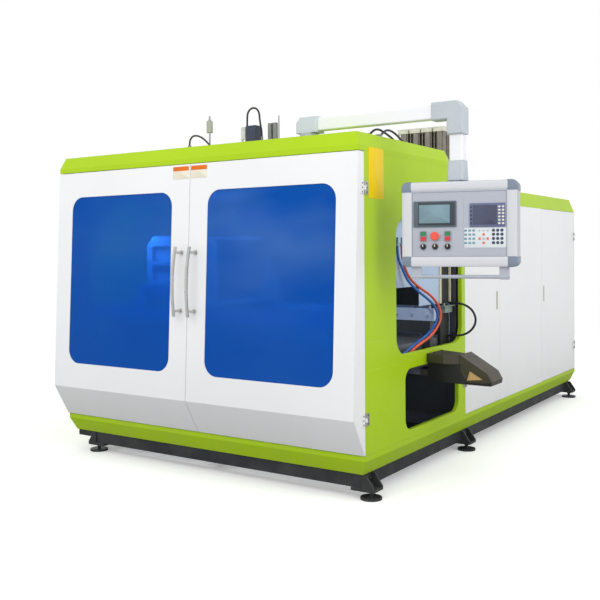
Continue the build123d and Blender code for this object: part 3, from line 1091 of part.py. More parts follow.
# Arm beam: end casting that turns on the spigot, and the square tube fixed in it
CASTING_Y = 52.0
CASTING_X1 = ARM_PIVOT_X + 90.0
ELBOW_X0 = SIDE_X + 319.0
with BuildPart() as end_casting:
    with BuildSketch(Plane.XZ.offset(-ARM_Y - CASTING_Y)):
        with BuildLine():
            Polyline(
                (ARM_PIVOT_X - 76, TURRET_TOP_Z + SWIVEL_LIFT),
                (CASTING_X1, TURRET_TOP_Z + SWIVEL_LIFT),
                (CASTING_X1, BEAM_TUBE_Z1 + 8),
                (ARM_PIVOT_X - 40, BEAM_TUBE_Z1 + 8),
                (ARM_PIVOT_X - 76, BEAM_TUBE_Z1 - 34),
                close=True,
            )
        make_face()
    extrude(amount=2 * CASTING_Y)
    fillet(end_casting.edges().filter_by(Axis.Z), 16)
    post(ARM_PIVOT_X, ARM_Y, TURRET_TOP_Z, SPIGOT_TOP_Z + 5, SPIGOT_R + PIN_LOOSE, mode=Mode.SUBTRACT)
TUBE_MID_Z = (BEAM_TUBE_Z0 + BEAM_TUBE_Z1) / 2
with BuildPart() as beam_tube:
    with BuildSketch(Plane(origin=(CASTING_X1, ARM_Y, TUBE_MID_Z), x_dir=(0, 1, 0), z_dir=(1, 0, 0))):
        RectangleRounded(BEAM_TUBE_W, BEAM_TUBE_Z1 - BEAM_TUBE_Z0, 8)
        Rectangle(BEAM_TUBE_W - 12, BEAM_TUBE_Z1 - BEAM_TUBE_Z0 - 12, mode=Mode.SUBTRACT)
    extrude(amount=ELBOW_X0 - CASTING_X1)
save(Compound(children=[end_casting.part, beam_tube.part]), "arm_beam")

# Arm column: elbow casting, drop tube and the lower coupling that the box turns in
ELBOW = [(319, 0), (319, 106), (480, 106), (522, 63), (522, -91), (418, -91), (418, 0)]
ELBOW_Y = 46.0
COLUMN_TOP_Z = TURRET_TOP_Z - 91.0
COUPLING_TOP_Z = COLUMN_Z0 + 117.0
BOX_SPIGOT_R = 20.0
BOX_SPIGOT_TOP_Z = COLUMN_Z0 + 38.0
with BuildPart() as elbow:
    with BuildSketch(Plane(origin=(SIDE_X, ARM_Y + ELBOW_Y, TURRET_TOP_Z), x_dir=(1, 0, 0), z_dir=(0, -1, 0))):
        with BuildLine():
            Polyline(*ELBOW, close=True)
        make_face()
    extrude(amount=2 * ELBOW_Y)
    chamfer(elbow.faces().sort_by(Axis.Y)[0].edges() + elbow.faces().sort_by(Axis.Y)[-1].edges(), 7)
with BuildPart() as drop_tube:
    with BuildSketch(Plane(origin=(COLUMN_X, ARM_Y, COUPLING_TOP_Z))):
        RectangleRounded(COLUMN_TUBE_W, COLUMN_TUBE_D, 10)
        RectangleRounded(COLUMN_TUBE_W - 10, COLUMN_TUBE_D - 10, 6, mode=Mode.SUBTRACT)
    extrude(amount=COLUMN_TOP_Z - COUPLING_TOP_Z)
with BuildPart() as coupling:
    with BuildSketch(Plane(origin=(COLUMN_X, ARM_Y, COLUMN_Z0))):
        RectangleRounded(103, 95, 14)
    with BuildSketch(Plane(origin=(COLUMN_X, ARM_Y, COUPLING_TOP_Z))):
        RectangleRounded(96, 74, 14)
    loft()
    post(COLUMN_X, ARM_Y, COLUMN_Z0 - 1, BOX_SPIGOT_TOP_Z + 5, BOX_SPIGOT_R + PIN_LOOSE, mode=Mode.SUBTRACT)
save(Compound(children=[elbow.part, drop_tube.part, coupling.part]), "arm_column")

# Control box: rounded housing on a spigot, turned towards the operator
BOX_U = Vector(math.cos(math.radians(BOX_TURN)), math.sin(math.radians(BOX_TURN)), 0)
BOX_N = Vector(math.sin(math.radians(BOX_TURN)), -math.cos(math.radians(BOX_TURN)), 0)
BOX_MID_Z = BOX_Z0 + BOX_H / 2
BOX_FRONT_T = 3.0
BOX_END = 60.0
# the front is laid out on a 733 x 493 grid that grows with the box
FRONT_U = BOX_W / 733.0
FRONT_V = BOX_H / 493.0


def box_plane(depth):
    """A plane parallel to the box's front, set back by depth, with its origin at the middle of the box."""
    origin = Vector(COLUMN_X, ARM_Y, BOX_MID_Z) + BOX_U * BOX_SHIFT + BOX_N * (BOX_D / 2 - depth)
    return Plane(origin=origin, x_dir=BOX_U, z_dir=BOX_N)


def from_corner(u, v):
    """A place on the front, measured from the box's upper left corner."""
    return (u * FRONT_U - BOX_W / 2, BOX_H / 2 - v * FRONT_V)


def rect(u0, u1, v0, v1):
    """Middle, width and height of a rectangle between two corners on the front."""
    return from_corner((u0 + u1) / 2, (v0 + v1) / 2), (u1 - u0) * FRONT_U, (v1 - v0) * FRONT_V


with BuildPart() as housing:
    with BuildSketch(box_plane(0)):
        RectangleRounded(BOX_W, BOX_H, BOX_CORNER_R)
    extrude(amount=-BOX_D)
    with BuildSketch(box_plane(0)):
        Rectangle(BOX_W - 2 * BOX_FRAME, BOX_H - 2 * BOX_END)
    extrude(amount=-BOX_RECESS, mode=Mode.SUBTRACT)
    with BuildSketch(box_plane(BOX_RECESS)):
        Rectangle(BOX_W - 2 * BOX_FRAME - 24, BOX_H - 2 * BOX_END - 24)
    extrude(amount=-(BOX_D - BOX_RECESS - 6), mode=Mode.SUBTRACT)
    # grooves of the frame sections along the front and the sides
    for z in (BOX_Z0 + BOX_END - 12, BOX_Z0 + BOX_H - BOX_END + 12):
        with BuildSketch(box_plane(0)):
            with Locations((0, z - BOX_MID_Z)):
                Rectangle(BOX_W - 2 * BOX_FRAME, 4)
        extrude(amount=-3, mode=Mode.SUBTRACT)
    post(COLUMN_X, ARM_Y, BOX_Z0 + BOX_H, COLUMN_Z0 - SWIVEL_LIFT, 42)
    post(COLUMN_X, ARM_Y, BOX_Z0 + BOX_H, BOX_SPIGOT_TOP_Z, BOX_SPIGOT_R)

# Operator places on the front, measured from the box's upper left corner
PUSH_U = (139.0, 297.0)
STOP_U = 216.0
GREEN_V = 301.0
RED_V = 330.0
STOP_V = 315.0
SELECTOR_V = 376.0
BUTTON_W = 30.0
BUTTON_H = (RED_V - GREEN_V) * FRONT_V - 5.0
BUTTON_LOOSE = 0.3
BUTTON_PROUD = 4.5
BEZEL_T = 4.0
E_STEM_R = 8.0
SELECTOR_STEM_R = 6.0
with BuildPart() as front_plate:
    with BuildSketch(box_plane(BOX_RECESS)):
        Rectangle(BOX_W - 2 * BOX_FRAME - 1, BOX_H - 2 * BOX_END - 1)
    extrude(amount=BOX_FRONT_T)
    # raised surrounds of the two screens, the keypad overlay and the operators
    for corners, proud in (((77, 353, 113, 262), 4.0), ((400, 665, 95, 385), 1.0), ((438, 658, 131, 264), 4.0)):
        middle, wide, high = rect(*corners)
        with BuildSketch(box_plane(BOX_RECESS - BOX_FRONT_T)):
            with Locations(middle):
                RectangleRounded(wide, high, 6)
        extrude(amount=proud)
    with BuildSketch(box_plane(BOX_RECESS - BOX_FRONT_T)):
        for push_u in PUSH_U:
            with Locations(from_corner(push_u, (GREEN_V + RED_V) / 2)):
                RectangleRounded(38, 60, 5)
        with Locations(from_corner(STOP_U, STOP_V)):
            Circle(30)
        for u in (PUSH_U[0], STOP_U, PUSH_U[1]):
            with Locations(from_corner(u, SELECTOR_V)):
                Circle(18)
    extrude(amount=BEZEL_T)
    for corners, deep in (((112, 313, 133, 238), 3.0), ((458, 650, 141, 247), 3.0)):
        middle, wide, high = rect(*corners)
        with BuildSketch(box_plane(BOX_RECESS - BOX_FRONT_T - 4)):
            with Locations(middle):
                Rectangle(wide, high)
        extrude(amount=-deep, mode=Mode.SUBTRACT)
    with BuildSketch(box_plane(BOX_RECESS - BOX_FRONT_T - BEZEL_T)):
        for push_u in PUSH_U:
            for v in (GREEN_V, RED_V):
                with Locations(from_corner(push_u, v)):
                    Rectangle(BUTTON_W + 2 * BUTTON_LOOSE, BUTTON_H + 2 * BUTTON_LOOSE)
        with Locations(from_corner(STOP_U, STOP_V)):
            Circle(E_STEM_R + PIN_LOOSE)
        for u in (PUSH_U[0], STOP_U, PUSH_U[1]):
            with Locations(from_corner(u, SELECTOR_V)):
                Circle(SELECTOR_STEM_R + PIN_LOOSE)
    extrude(amount=-(BEZEL_T + BOX_FRONT_T + 2), mode=Mode.SUBTRACT)
save(Compound(children=[housing.part, front_plate.part]), "control_box")

# Pull bar under the box, on two brackets
BAR_N = 60.0
BAR_DROP = 58.0
BAR_Z = BOX_Z0 - BAR_DROP
BAR_R = 11.0
BRACKET_U = (-250.0, 255.0)
BAR_END = 284.0
with BuildPart() as box_handle:
    for u in BRACKET_U:
        with BuildSketch(box_plane(BOX_D / 2 - BAR_N + 7)):
            with Locations((u, (BOX_Z0 + BAR_Z) / 2 - BOX_MID_Z - 8)):
                RectangleRounded(56, BOX_Z0 - BAR_Z + 16, 6)
        extrude(amount=14)
    bar_start = Vector(COLUMN_X, ARM_Y, BAR_Z) + BOX_N * BAR_N - BOX_U * (BAR_END - BOX_SHIFT)
    with BuildSketch(Plane(origin=bar_start, z_dir=BOX_U)):
        Circle(BAR_R)
    extrude(amount=2 * BAR_END)
save(box_handle.part, "box_handle")

# Push buttons: square caps in their bezels, with a flange behind the plate that keeps them in
BUTTON_FRONT = BOX_RECESS - BOX_FRONT_T - BEZEL_T - BUTTON_PROUD
for name, u, v in (
    ("left_start_button", PUSH_U[0], GREEN_V),
    ("left_stop_button", PUSH_U[0], RED_V),
    ("right_start_button", PUSH_U[1], GREEN_V),
    ("right_stop_button", PUSH_U[1], RED_V),
):
    with BuildPart() as button:
        with BuildSketch(box_plane(BUTTON_FRONT)):
            with Locations(from_corner(u, v)):
                RectangleRounded(BUTTON_W, BUTTON_H, 4)
        extrude(amount=-(BUTTON_PROUD + BEZEL_T + BOX_FRONT_T + 0.3))
        with BuildSketch(box_plane(BOX_RECESS + 0.3)):
            with Locations(from_corner(u, v)):
                Rectangle(BUTTON_W + 4, BUTTON_H + 4)
        extrude(amount=-6)
    save(button.part, name)

# Emergency stop: mushroom head on a stem
MUSHROOM_R = 25.0
MUSHROOM_GAP = 6.0
with BuildPart() as e_stop:
    with BuildSketch(box_plane(BOX_RECESS - BOX_FRONT_T - BEZEL_T - MUSHROOM_GAP)):
        with Locations(from_corner(STOP_U, STOP_V)):
            Circle(MUSHROOM_R)
    extrude(amount=16)
    fillet(e_stop.edges().filter_by(GeomType.CIRCLE), 5)
    with BuildSketch(box_plane(BOX_RECESS - BOX_FRONT_T - BEZEL_T - MUSHROOM_GAP)):
        with Locations(from_corner(STOP_U, STOP_V)):
            Circle(E_STEM_R)
    extrude(amount=-(MUSHROOM_GAP + BEZEL_T + BOX_FRONT_T + 4))
save(e_stop.part, "e_stop")

# Selector switches: round knobs with a raised grip
KNOB_R = 16.0
for name, u in (("selector_left", PUSH_U[0]), ("selector_middle", STOP_U), ("selector_right", PUSH_U[1])):
    knob_back = BOX_RECESS - BOX_FRONT_T - BEZEL_T - 0.3
    with BuildPart() as selector:
        with BuildSketch(box_plane(knob_back)):
            with Locations(from_corner(u, SELECTOR_V)):
                Circle(KNOB_R)
        extrude(amount=5)
        with BuildSketch(box_plane(knob_back)):
            with Locations(from_corner(u, SELECTOR_V)):
                SlotOverall(2 * KNOB_R - 4, 10, rotation=90)
        extrude(amount=15)
        with BuildSketch(box_plane(knob_back)):
            with Locations(from_corner(u, SELECTOR_V)):
                Circle(SELECTOR_STEM_R)
        extrude(amount=-(BEZEL_T + BOX_FRONT_T + 4))
    save(selector.part, name)

# Cylinder bank on the rear roof: two rows of tie-rod cylinders with square caps
BANK_X = SIDE_X - 395.0
BANK_Y = FRONT_Y + 1690.0
BANK_PITCH = 100.0
BANK_H = 444.0
BANK_TOP_Z = REAR_ROOF_Z + BANK_H
CAP = 88.0
CAP_H = 36.0
with BuildPart() as cylinder_bank:
    with Locations((BANK_X, BANK_Y, REAR_ROOF_Z + 7)):
        Box(4 * BANK_PITCH + 20, 2 * BANK_PITCH + 20, 14)
    with BuildSketch(Plane.XY.offset(REAR_ROOF_Z + 14)):
        with Locations((BANK_X, BANK_Y)):
            with GridLocations(BANK_PITCH, BANK_PITCH, 4, 2):
                Rectangle(CAP, CAP)
    extrude(amount=CAP_H)
    with BuildSketch(Plane.XY.offset(BANK_TOP_Z - CAP_H)):
        with Locations((BANK_X, BANK_Y)):
            with GridLocations(BANK_PITCH, BANK_PITCH, 4, 2):
                Rectangle(CAP, CAP)
    extrude(amount=CAP_H)
    with BuildSketch(Plane.XY.offset(REAR_ROOF_Z + 14 + CAP_H)):
        with Locations((BANK_X, BANK_Y)):
            with GridLocations(BANK_PITCH, BANK_PITCH, 4, 2):
                Circle(CAP / 2 - 6)
                with GridLocations(CAP - 14, CAP - 14, 2, 2):
                    RegularPolygon(4, 6)
    extrude(amount=BANK_TOP_Z - REAR_ROOF_Z - 14 - 2 * CAP_H)
save(cylinder_bank.part, "cylinder_bank")

# Air valves on the roof: base plate, valve body with a bracket, two small cylinders, a pole and fittings
HOSE_D = 14.0
FITTING_R = HOSE_D / 2 + 3
VALVE_Y = FRONT_Y + 600.0
LEFT_FITTING = (SIDE_X - 1871.0, VALVE_Y, 2315.0)
GLAND = (SIDE_X - 1600.0, FRONT_Y + 553.0, 2214.0)
ARCH_START = (SIDE_X - 1313.0, VALVE_Y, 2331.0)
ARCH_END = (SIDE_X - 1182.0, VALVE_Y, 2326.0)
with BuildPart() as roof_valves:
    block(SIDE_X - 1363, SIDE_X - 964, VALVE_Y - 60, VALVE_Y + 60, ROOF_Z, ROOF_Z + 15)
    block(SIDE_X - 1300, SIDE_X - 1214, VALVE_Y - 36, VALVE_Y + 36, ROOF_Z + 15, ROOF_Z + 210)
    block(SIDE_X - 1326, SIDE_X - 1300, VALVE_Y - 12, VALVE_Y + 12, ROOF_Z + 96, ROOF_Z + 122)
    block(SIDE_X - 1367, SIDE_X - 1330, VALVE_Y - 8, VALVE_Y + 8, ROOF_Z + 118, ROOF_Z + 209)
    block(SIDE_X - 1363, SIDE_X - 1355, VALVE_Y - 8, VALVE_Y + 8, ROOF_Z + 15, ROOF_Z + 118)
    post(ARCH_START[0], VALVE_Y, ROOF_Z + 100, ARCH_START[2], FITTING_R)
    post(ARCH_END[0], VALVE_Y, ROOF_Z + 15, ARCH_END[2], FITTING_R)
    for x in (SIDE_X - 1105, SIDE_X - 1062):
        post(x, VALVE_Y, ROOF_Z + 15, ROOF_Z + 216, 19)
    post(SIDE_X - 1030, VALVE_Y, ROOF_Z + 15, ROOF_Z + 265, 4)
with BuildPart() as left_fitting:
    post(LEFT_FITTING[0], LEFT_FITTING[1], ROOF_Z, ROOF_Z + 10, 26)
    post(LEFT_FITTING[0], LEFT_FITTING[1], ROOF_Z + 10, LEFT_FITTING[2], 13)
with BuildPart() as roof_gland:
    post(GLAND[0], GLAND[1], ROOF_Z, GLAND[2], FITTING_R + 4)

# Glands of the two roof cables, low blocks on the roof under and behind the arm beam
CABLE_R = 7.0
CABLE_BLOCK_H = 16.0
FRONT_CABLE = [
    (-92, 240, 2216), (-88, 262, 2234), (-84, 292, 2249), (-82, 332, 2256), (-82, 382, 2251), (-83, 438, 2239),
    (-86, 496, 2228), (-95, 556, 2219), (-110, 612, 2213),
]
REAR_CABLE = [
    (-56, 318, 2216), (-55, 342, 2234), (-54, 374, 2250), (-53, 416, 2258), (-54, 468, 2254), (-58, 526, 2243),
    (-66, 586, 2230), (-78, 646, 2219), (-92, 702, 2213),
]


def from_side(points):
    """Route points given from the side plane and the panels' front edge, in the part's frame."""
    return [(SIDE_X + x, FRONT_Y + y, z) for x, y, z in points]


def end_stub(points, end, r, long):
    """A short fitting that continues a route past its first or last point, inside the current part."""
    tip, inner = (points[0], points[1]) if end == 0 else (points[-1], points[-2])
    away = Vector(*tip) - Vector(*inner)
    with Locations(Plane(origin=Vector(*tip), z_dir=away)):
        Cylinder(r, long, align=(Align.CENTER, Align.CENTER, Align.MIN))


with BuildPart() as cable_glands:
    for route in (from_side(FRONT_CABLE), from_side(REAR_CABLE)):
        for end in (0, -1):
            end_stub(route, end, CABLE_R + 2, 22)
            tip_x, tip_y, tip_z = route[end]
            toward = -1 if end == 0 else 1
            block(tip_x - 14, tip_x + 14, min(tip_y + toward * 12, tip_y + toward * 46),
                  max(tip_y + toward * 12, tip_y + toward * 46), ROOF_Z, ROOF_Z + CABLE_BLOCK_H)
    block(SIDE_X - 120, SIDE_X - 30, FRONT_Y + 180, FRONT_Y + 800, ROOF_Z - 60, ROOF_Z, mode=Mode.SUBTRACT)
save(Compound(children=[roof_valves.part, left_fitting.part, roof_gland.part, cable_glands.part]), "roof_valves")

# Routes of the free hoses, each from its first fitting to its last, chosen point by point
BLUE_HOSE = [
    (-64, 545, 1526), (-64, 545, 1455), (-56, 578, 1375), (-36, 635, 1295), (-8, 722, 1228), (14, 822, 1172),
    (27, 912, 1112), (24, 955, 1040), (10, 948, 966), (-14, 900, 908), (-46, 812, 868), (-66, 716, 835),
    (-78, 622, 802),
]
ORANGE_HOSE = [
    (-64, 612, 1526), (-64, 612, 1452), (-54, 650, 1372), (-28, 714, 1300), (6, 800, 1244), (36, 890, 1188),
    (52, 960, 1118), (50, 990, 1040), (34, 965, 962), (10, 898, 906), (-17, 828, 868), (-44, 758, 836),
    (-66, 694, 802),
]
LOOP_HOSE = [
    (-70, 1370, 1112), (-4, 1370, 1112), (61, 1382, 1098), (112, 1393, 1055), (133, 1398, 992),
    (112, 1394, 929), (61, 1384, 886), (-4, 1370, 872), (-70, 1370, 872),
]
TALL_HOSE = [
    (-1313, 600, 2331), (-1313, 600, 2370), (-1314, 599, 2420), (-1312, 598, 2466), (-1310, 598, 2502),
    (-1295, 598, 2527), (-1271, 598, 2541), (-1243, 598, 2541), (-1219, 598, 2527), (-1204, 599, 2502),
    (-1201, 599, 2466), (-1194, 600, 2416), (-1182, 600, 2366), (-1182, 600, 2326),
]
LEFT_HOSE = [
    (-1871, 600, 2315), (-1871, 600, 2344), (-1856, 599, 2369), (-1831, 597, 2384), (-1783, 588, 2381),
    (-1728, 572, 2362), (-1680, 559, 2334), (-1642, 554, 2302), (-1616, 553, 2274), (-1600, 553, 2243),
    (-1600, 553, 2214),
]


def cord(name, points, r):
    """A hose as straight runs joined by arcs as large as its runs allow, with its radii and length printed."""
    corners = [Vector(*p) for p in from_side(points)]
    radii = []
    for before, here, after in zip(corners, corners[1:], corners[2:]):
        half_turn = math.radians((here - before).get_angle(after - here)) / 2
        shorter = min((here - before).length, (after - here).length)
        radii.append(0.45 * shorter / math.tan(half_turn))
    with BuildPart() as tube:
        with BuildLine():
            path = FilletPolyline(*corners, radius=radii)
        with BuildSketch(Plane(origin=path @ 0, z_dir=path % 0)):
            Circle(r)
        sweep(path=path)
    smallest = min(radii) / (2 * r)
    ratio = tube.part.volume / (math.pi * r * r * path.length)
    print(name, "length", round(path.length), "smallest radius in diameters", round(smallest, 1),
          "radii", [round(radius) for radius in radii], "volume ratio", round(ratio, 3))
    save(tube.part, name)


cord("blue_hose", BLUE_HOSE, HOSE_R)
cord("orange_hose", ORANGE_HOSE, HOSE_R)
cord("loop_hose", LOOP_HOSE, LOOP_R)
cord("roof_hose_tall", TALL_HOSE, HOSE_D / 2)
cord("roof_hose_left", LEFT_HOSE, HOSE_D / 2)
cord("roof_cable_front", FRONT_CABLE, CABLE_R)
cord("roof_cable_rear", REAR_CABLE, CABLE_R)

# Service panel in the side opening: silver plate, cream edge strips, black column and hose fittings
with BuildPart() as service_panel:
    block(PLATE_X - 4, PLATE_X, FRONT_Y + 440, COLUMN_Y0 - 26, PLATE_Z0, REAR_FRAME_TOP - POST)
    block(PLATE_X - 5, PLATE_X + 1, FRONT_Y + 439, PLATE_STEP_Y, PLATE_Z0 - 1, PLATE_STEP_Z, mode=Mode.SUBTRACT)
    block(PLATE_X - 60, PLATE_X + 6, COLUMN_Y0 - 26, COLUMN_Y0, PLATE_Z0, REAR_FRAME_TOP - POST)
    block(PLATE_X - 56, PLATE_X - 4, COLUMN_Y0, COLUMN_Y1, SIDE_RAIL_Z1, REAR_FRAME_TOP - POST)
    block(PLATE_X - 60, PLATE_X + 6, COLUMN_Y1 - 20, COLUMN_Y1, PLATE_Z0, REAR_FRAME_TOP - POST)
    # the valve bracket under the strips, with its shelf and a plugged port
    block(PLATE_X - 4, PLATE_X + 28, COLUMN_Y0 + 12, COLUMN_Y1 - 30, SHELF_Z - 52, SHELF_Z)
    block(PLATE_X - 4, PLATE_X + 38, COLUMN_Y0 - 16, COLUMN_Y1 - 4, SHELF_Z - 8, SHELF_Z)
    post(PLATE_X + 14, COLUMN_Y0 + 22, SHELF_Z, SHELF_Z + 30, 9)
    for route in (from_side(BLUE_HOSE), from_side(ORANGE_HOSE)):
        hose_x, hose_y, hose_z = route[0]
        block(PLATE_X, hose_x + 17, hose_y - 17, hose_y + 17, hose_z + 14, hose_z + 54)
        post(hose_x, hose_y, hose_z, hose_z + 14, HOSE_R + 3)
    for end in (0, -1):
        hose_x, hose_y, hose_z = from_side(LOOP_HOSE)[end]
        rod_x(hose_y, hose_z, PLATE_X - 4, hose_x, LOOP_R + 4)
with BuildPart() as rail_fittings:
    for route in (from_side(BLUE_HOSE), from_side(ORANGE_HOSE)):
        end_stub(route, -1, HOSE_R + 3, 40)
        tip_x, tip_y, tip_z = route[-1]
        block(tip_x - 26, tip_x + 14, tip_y - 62, tip_y - 20, SIDE_RAIL_Z1, tip_z - 8)
save(Compound(children=[service_panel.part, rail_fittings.part]), "service_panel")
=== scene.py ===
"""Looks of the blow moulding machine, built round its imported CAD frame. Metres, front towards -Y."""

import math

import bmesh
import bpy
from mathutils import Matrix, Vector


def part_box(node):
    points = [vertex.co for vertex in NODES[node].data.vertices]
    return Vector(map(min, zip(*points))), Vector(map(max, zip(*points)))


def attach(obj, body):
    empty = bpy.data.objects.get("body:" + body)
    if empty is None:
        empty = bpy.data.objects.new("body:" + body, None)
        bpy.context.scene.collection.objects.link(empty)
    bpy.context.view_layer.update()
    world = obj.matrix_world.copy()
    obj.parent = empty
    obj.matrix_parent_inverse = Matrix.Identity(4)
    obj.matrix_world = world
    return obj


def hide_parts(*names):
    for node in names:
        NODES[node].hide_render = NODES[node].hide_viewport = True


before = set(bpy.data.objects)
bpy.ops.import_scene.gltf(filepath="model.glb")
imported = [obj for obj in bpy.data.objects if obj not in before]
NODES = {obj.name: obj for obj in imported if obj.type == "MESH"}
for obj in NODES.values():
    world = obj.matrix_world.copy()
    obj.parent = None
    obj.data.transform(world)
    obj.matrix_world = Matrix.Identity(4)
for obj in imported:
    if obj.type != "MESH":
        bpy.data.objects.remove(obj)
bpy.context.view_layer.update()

# Driving planes, read from the frame
SIDE_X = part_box("right_side_panel")[1].x
LEFT_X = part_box("left_side_panel")[0].x
FRONT_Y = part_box("right_side_panel")[0].y
ROOF_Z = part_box("arm_base")[0].z
MID_X = (SIDE_X + LEFT_X) / 2

# Front doors, as in the CAD source
DOOR_TOP_Z = 2.085
DOOR_KINK_Z = 0.507
DOOR_TOP_OUT = 0.067
DOOR_KINK_OUT = 0.140
DOOR_TILT = math.atan((DOOR_KINK_OUT - DOOR_TOP_OUT) / (DOOR_TOP_Z - DOOR_KINK_Z))

# Control box, as in the CAD source
BOX_W = 0.662
BOX_H = 0.493
BOX_D = 0.170
BOX_Z0 = 1.400
BOX_TURN = math.radians(14)
BOX_SHIFT = 0.016
BOX_POST = (SIDE_X + 0.470, FRONT_Y + 0.281)
SURROUND_DEPTH = -0.001

# Grid on the box's front: u runs from the left in 733rds of its width, v from the top in millimetres
GRID_W = 0.733
GRID_U = BOX_W / GRID_W
LEFT_PUSH_U = 139
STOP_U = 216
RIGHT_PUSH_U = 297
PUSH_V = 315.5
STOP_V = 315
SELECTOR_V = 376


# ---------------------------------------------------------------- camera
CAMERA_PLACE = Vector((3.6216, -6.5051, 1.5029))
CAMERA_TURN = math.radians(33.650)
CAMERA_PITCH = math.radians(0.649)
CAMERA_ROLL = math.radians(-0.385)
FOCAL_PIXELS = 841.5
IMAGE_PIXELS = 600.0
CENTRE_ROW = 259.5
SENSOR = 36.0


def make_camera():
    """A camera at the photograph's place, turned by its heading, pitch and roll."""
    data = bpy.data.cameras.new("camera")
    data.sensor_width = SENSOR
    data.sensor_fit = "HORIZONTAL"
    data.lens = FOCAL_PIXELS * SENSOR / IMAGE_PIXELS
    data.shift_y = (CENTRE_ROW - IMAGE_PIXELS / 2) / IMAGE_PIXELS
    data.clip_start = 0.1
    data.clip_end = 200.0
    camera = bpy.data.objects.new("camera", data)
    bpy.context.collection.objects.link(camera)
    forward = Vector((-math.sin(CAMERA_TURN) * math.cos(CAMERA_PITCH),
                      math.cos(CAMERA_TURN) * math.cos(CAMERA_PITCH), -math.sin(CAMERA_PITCH)))
    level = Vector((math.cos(CAMERA_TURN), math.sin(CAMERA_TURN), 0))
    above = level.cross(forward)
    right = level * math.cos(CAMERA_ROLL) + above * math.sin(CAMERA_ROLL)
    up = above * math.cos(CAMERA_ROLL) - level * math.sin(CAMERA_ROLL)
    turn = Matrix((right, up, -forward)).transposed()
    camera.matrix_world = Matrix.Translation(CAMERA_PLACE) @ turn.to_4x4()
    bpy.context.scene.camera = camera


make_camera()


# ---------------------------------------------------------------- material graphs
def srgb(red, green, blue):
    """A linear colour from values of 0 to 255."""
    linear = []
    for value in (red, green, blue):
        share = value / 255
        linear.append(share / 12.92 if share <= 0.04045 else ((share + 0.055) / 1.055) ** 2.4)
    return (*linear, 1.0)


def add(tree, kind, inputs=None, **settings):
    """A new node, with its settings, and its inputs linked or set."""
    node = tree.nodes.new(kind)
    for key, value in settings.items():
        setattr(node, key, value)
    for key, value in (inputs or {}).items():
        if isinstance(value, bpy.types.NodeSocket):
            tree.links.new(value, node.inputs[key])
        else:
            node.inputs[key].default_value = value
    return node


def maths(tree, operation, first, second, clamp=False):
    """The result of one Math node."""
    inputs = {0: first, 1: second}
    return add(tree, "ShaderNodeMath", inputs, operation=operation, use_clamp=clamp).outputs[0]


def mixed(tree, factor, first, second):
    """Two colours mixed by factor."""
    node = add(tree, "ShaderNodeMix", {0: factor, 6: first, 7: second}, data_type="RGBA")
    return node.outputs[2]


def noise(tree, place, scale, detail, stretch=None):
    """A noise value from 0 to 1, with scale in features per metre."""
    if stretch:
        place = add(tree, "ShaderNodeMapping", {"Vector": place, "Scale": stretch}).outputs[0]
    inputs = {"Vector": place, "Scale": scale, "Detail": detail}
    return add(tree, "ShaderNodeTexNoise", inputs).outputs[0]


def spread(tree, value, low, high, to_low=0.0, to_high=1.0):
    """A value mapped from one range to another and held inside it."""
    inputs = {0: value, 1: low, 2: high, 3: to_low, 4: to_high}
    return add(tree, "ShaderNodeMapRange", inputs).outputs[0]


def inside(tree, place, low, high):
    """1 inside a box of object coordinates and 0 outside it. None leaves a side open."""
    parts = add(tree, "ShaderNodeSeparateXYZ", {0: place})
    result = 1.0
    for axis in range(3):
        for bound, operation in ((low[axis], "GREATER_THAN"), (high[axis], "LESS_THAN")):
            if bound is not None:
                test = maths(tree, operation, parts.outputs[axis], bound)
                result = maths(tree, "MULTIPLY", test, result)
    return result


def new_material(name):
    """An empty material with its node tree and its output node."""
    material = bpy.data.materials.new(name)
    material.use_nodes = True
    tree = material.node_tree
    tree.nodes.clear()
    return material, tree, add(tree, "ShaderNodeOutputMaterial")


OPEN = (None, None)
COAT_ROUGHNESS = 0.15
GRAIN_STRENGTH = 0.1
GRAIN_DEPTH = 0.0004
WEAR_START = 0.995
WEAR_FULL = 0.85
WEAR_SCALE = 9.0
WORN_COLOUR = (236, 236, 232)
DUST_COLOUR = (150, 146, 138)
DUST_TOP_Z = 0.45
DUST_SCALE = 6.0
POLISH_SCALE = 14.0
POLISH_CHANGE = 0.05


def zone(colour, roughness, metallic=0.0, x=OPEN, y=OPEN, z=OPEN):
    """A part of a piece with its own finish, between two bounds on each axis. None leaves a side open."""
    low, high = zip(x, y, z)
    return low, high, colour, roughness, metallic


def worn(tree, place, surface, bevelled, edge):
    """A surface rubbed paler in patches, where its bevelled normal leaves the true one."""
    normal = add(tree, "ShaderNodeNewGeometry").outputs["Normal"]
    turned = add(tree, "ShaderNodeVectorMath", {0: bevelled, 1: normal}, operation="DOT_PRODUCT")
    wear = spread(tree, turned.outputs["Value"], WEAR_START, WEAR_FULL)
    patches = spread(tree, noise(tree, place, WEAR_SCALE, 5.0), 0.42, 0.66, 0.0, edge)
    rubbed = maths(tree, "MULTIPLY", wear, patches)
    lighter = mixed(tree, 0.5, surface, srgb(*WORN_COLOUR))
    return mixed(tree, rubbed, surface, lighter)


def dusty(tree, place, surface, dust):
    """A surface with patchy dust that thickens towards the floor."""
    height = add(tree, "ShaderNodeSeparateXYZ", {0: place}).outputs[2]
    low_down = spread(tree, height, DUST_TOP_Z, 0.0)
    patchy = spread(tree, noise(tree, place, DUST_SCALE, 5.0), 0.4, 0.7, 0.15, 1.0)
    settled = maths(tree, "MULTIPLY", maths(tree, "MULTIPLY", low_down, patchy), dust)
    return mixed(tree, settled, surface, srgb(*DUST_COLOUR))


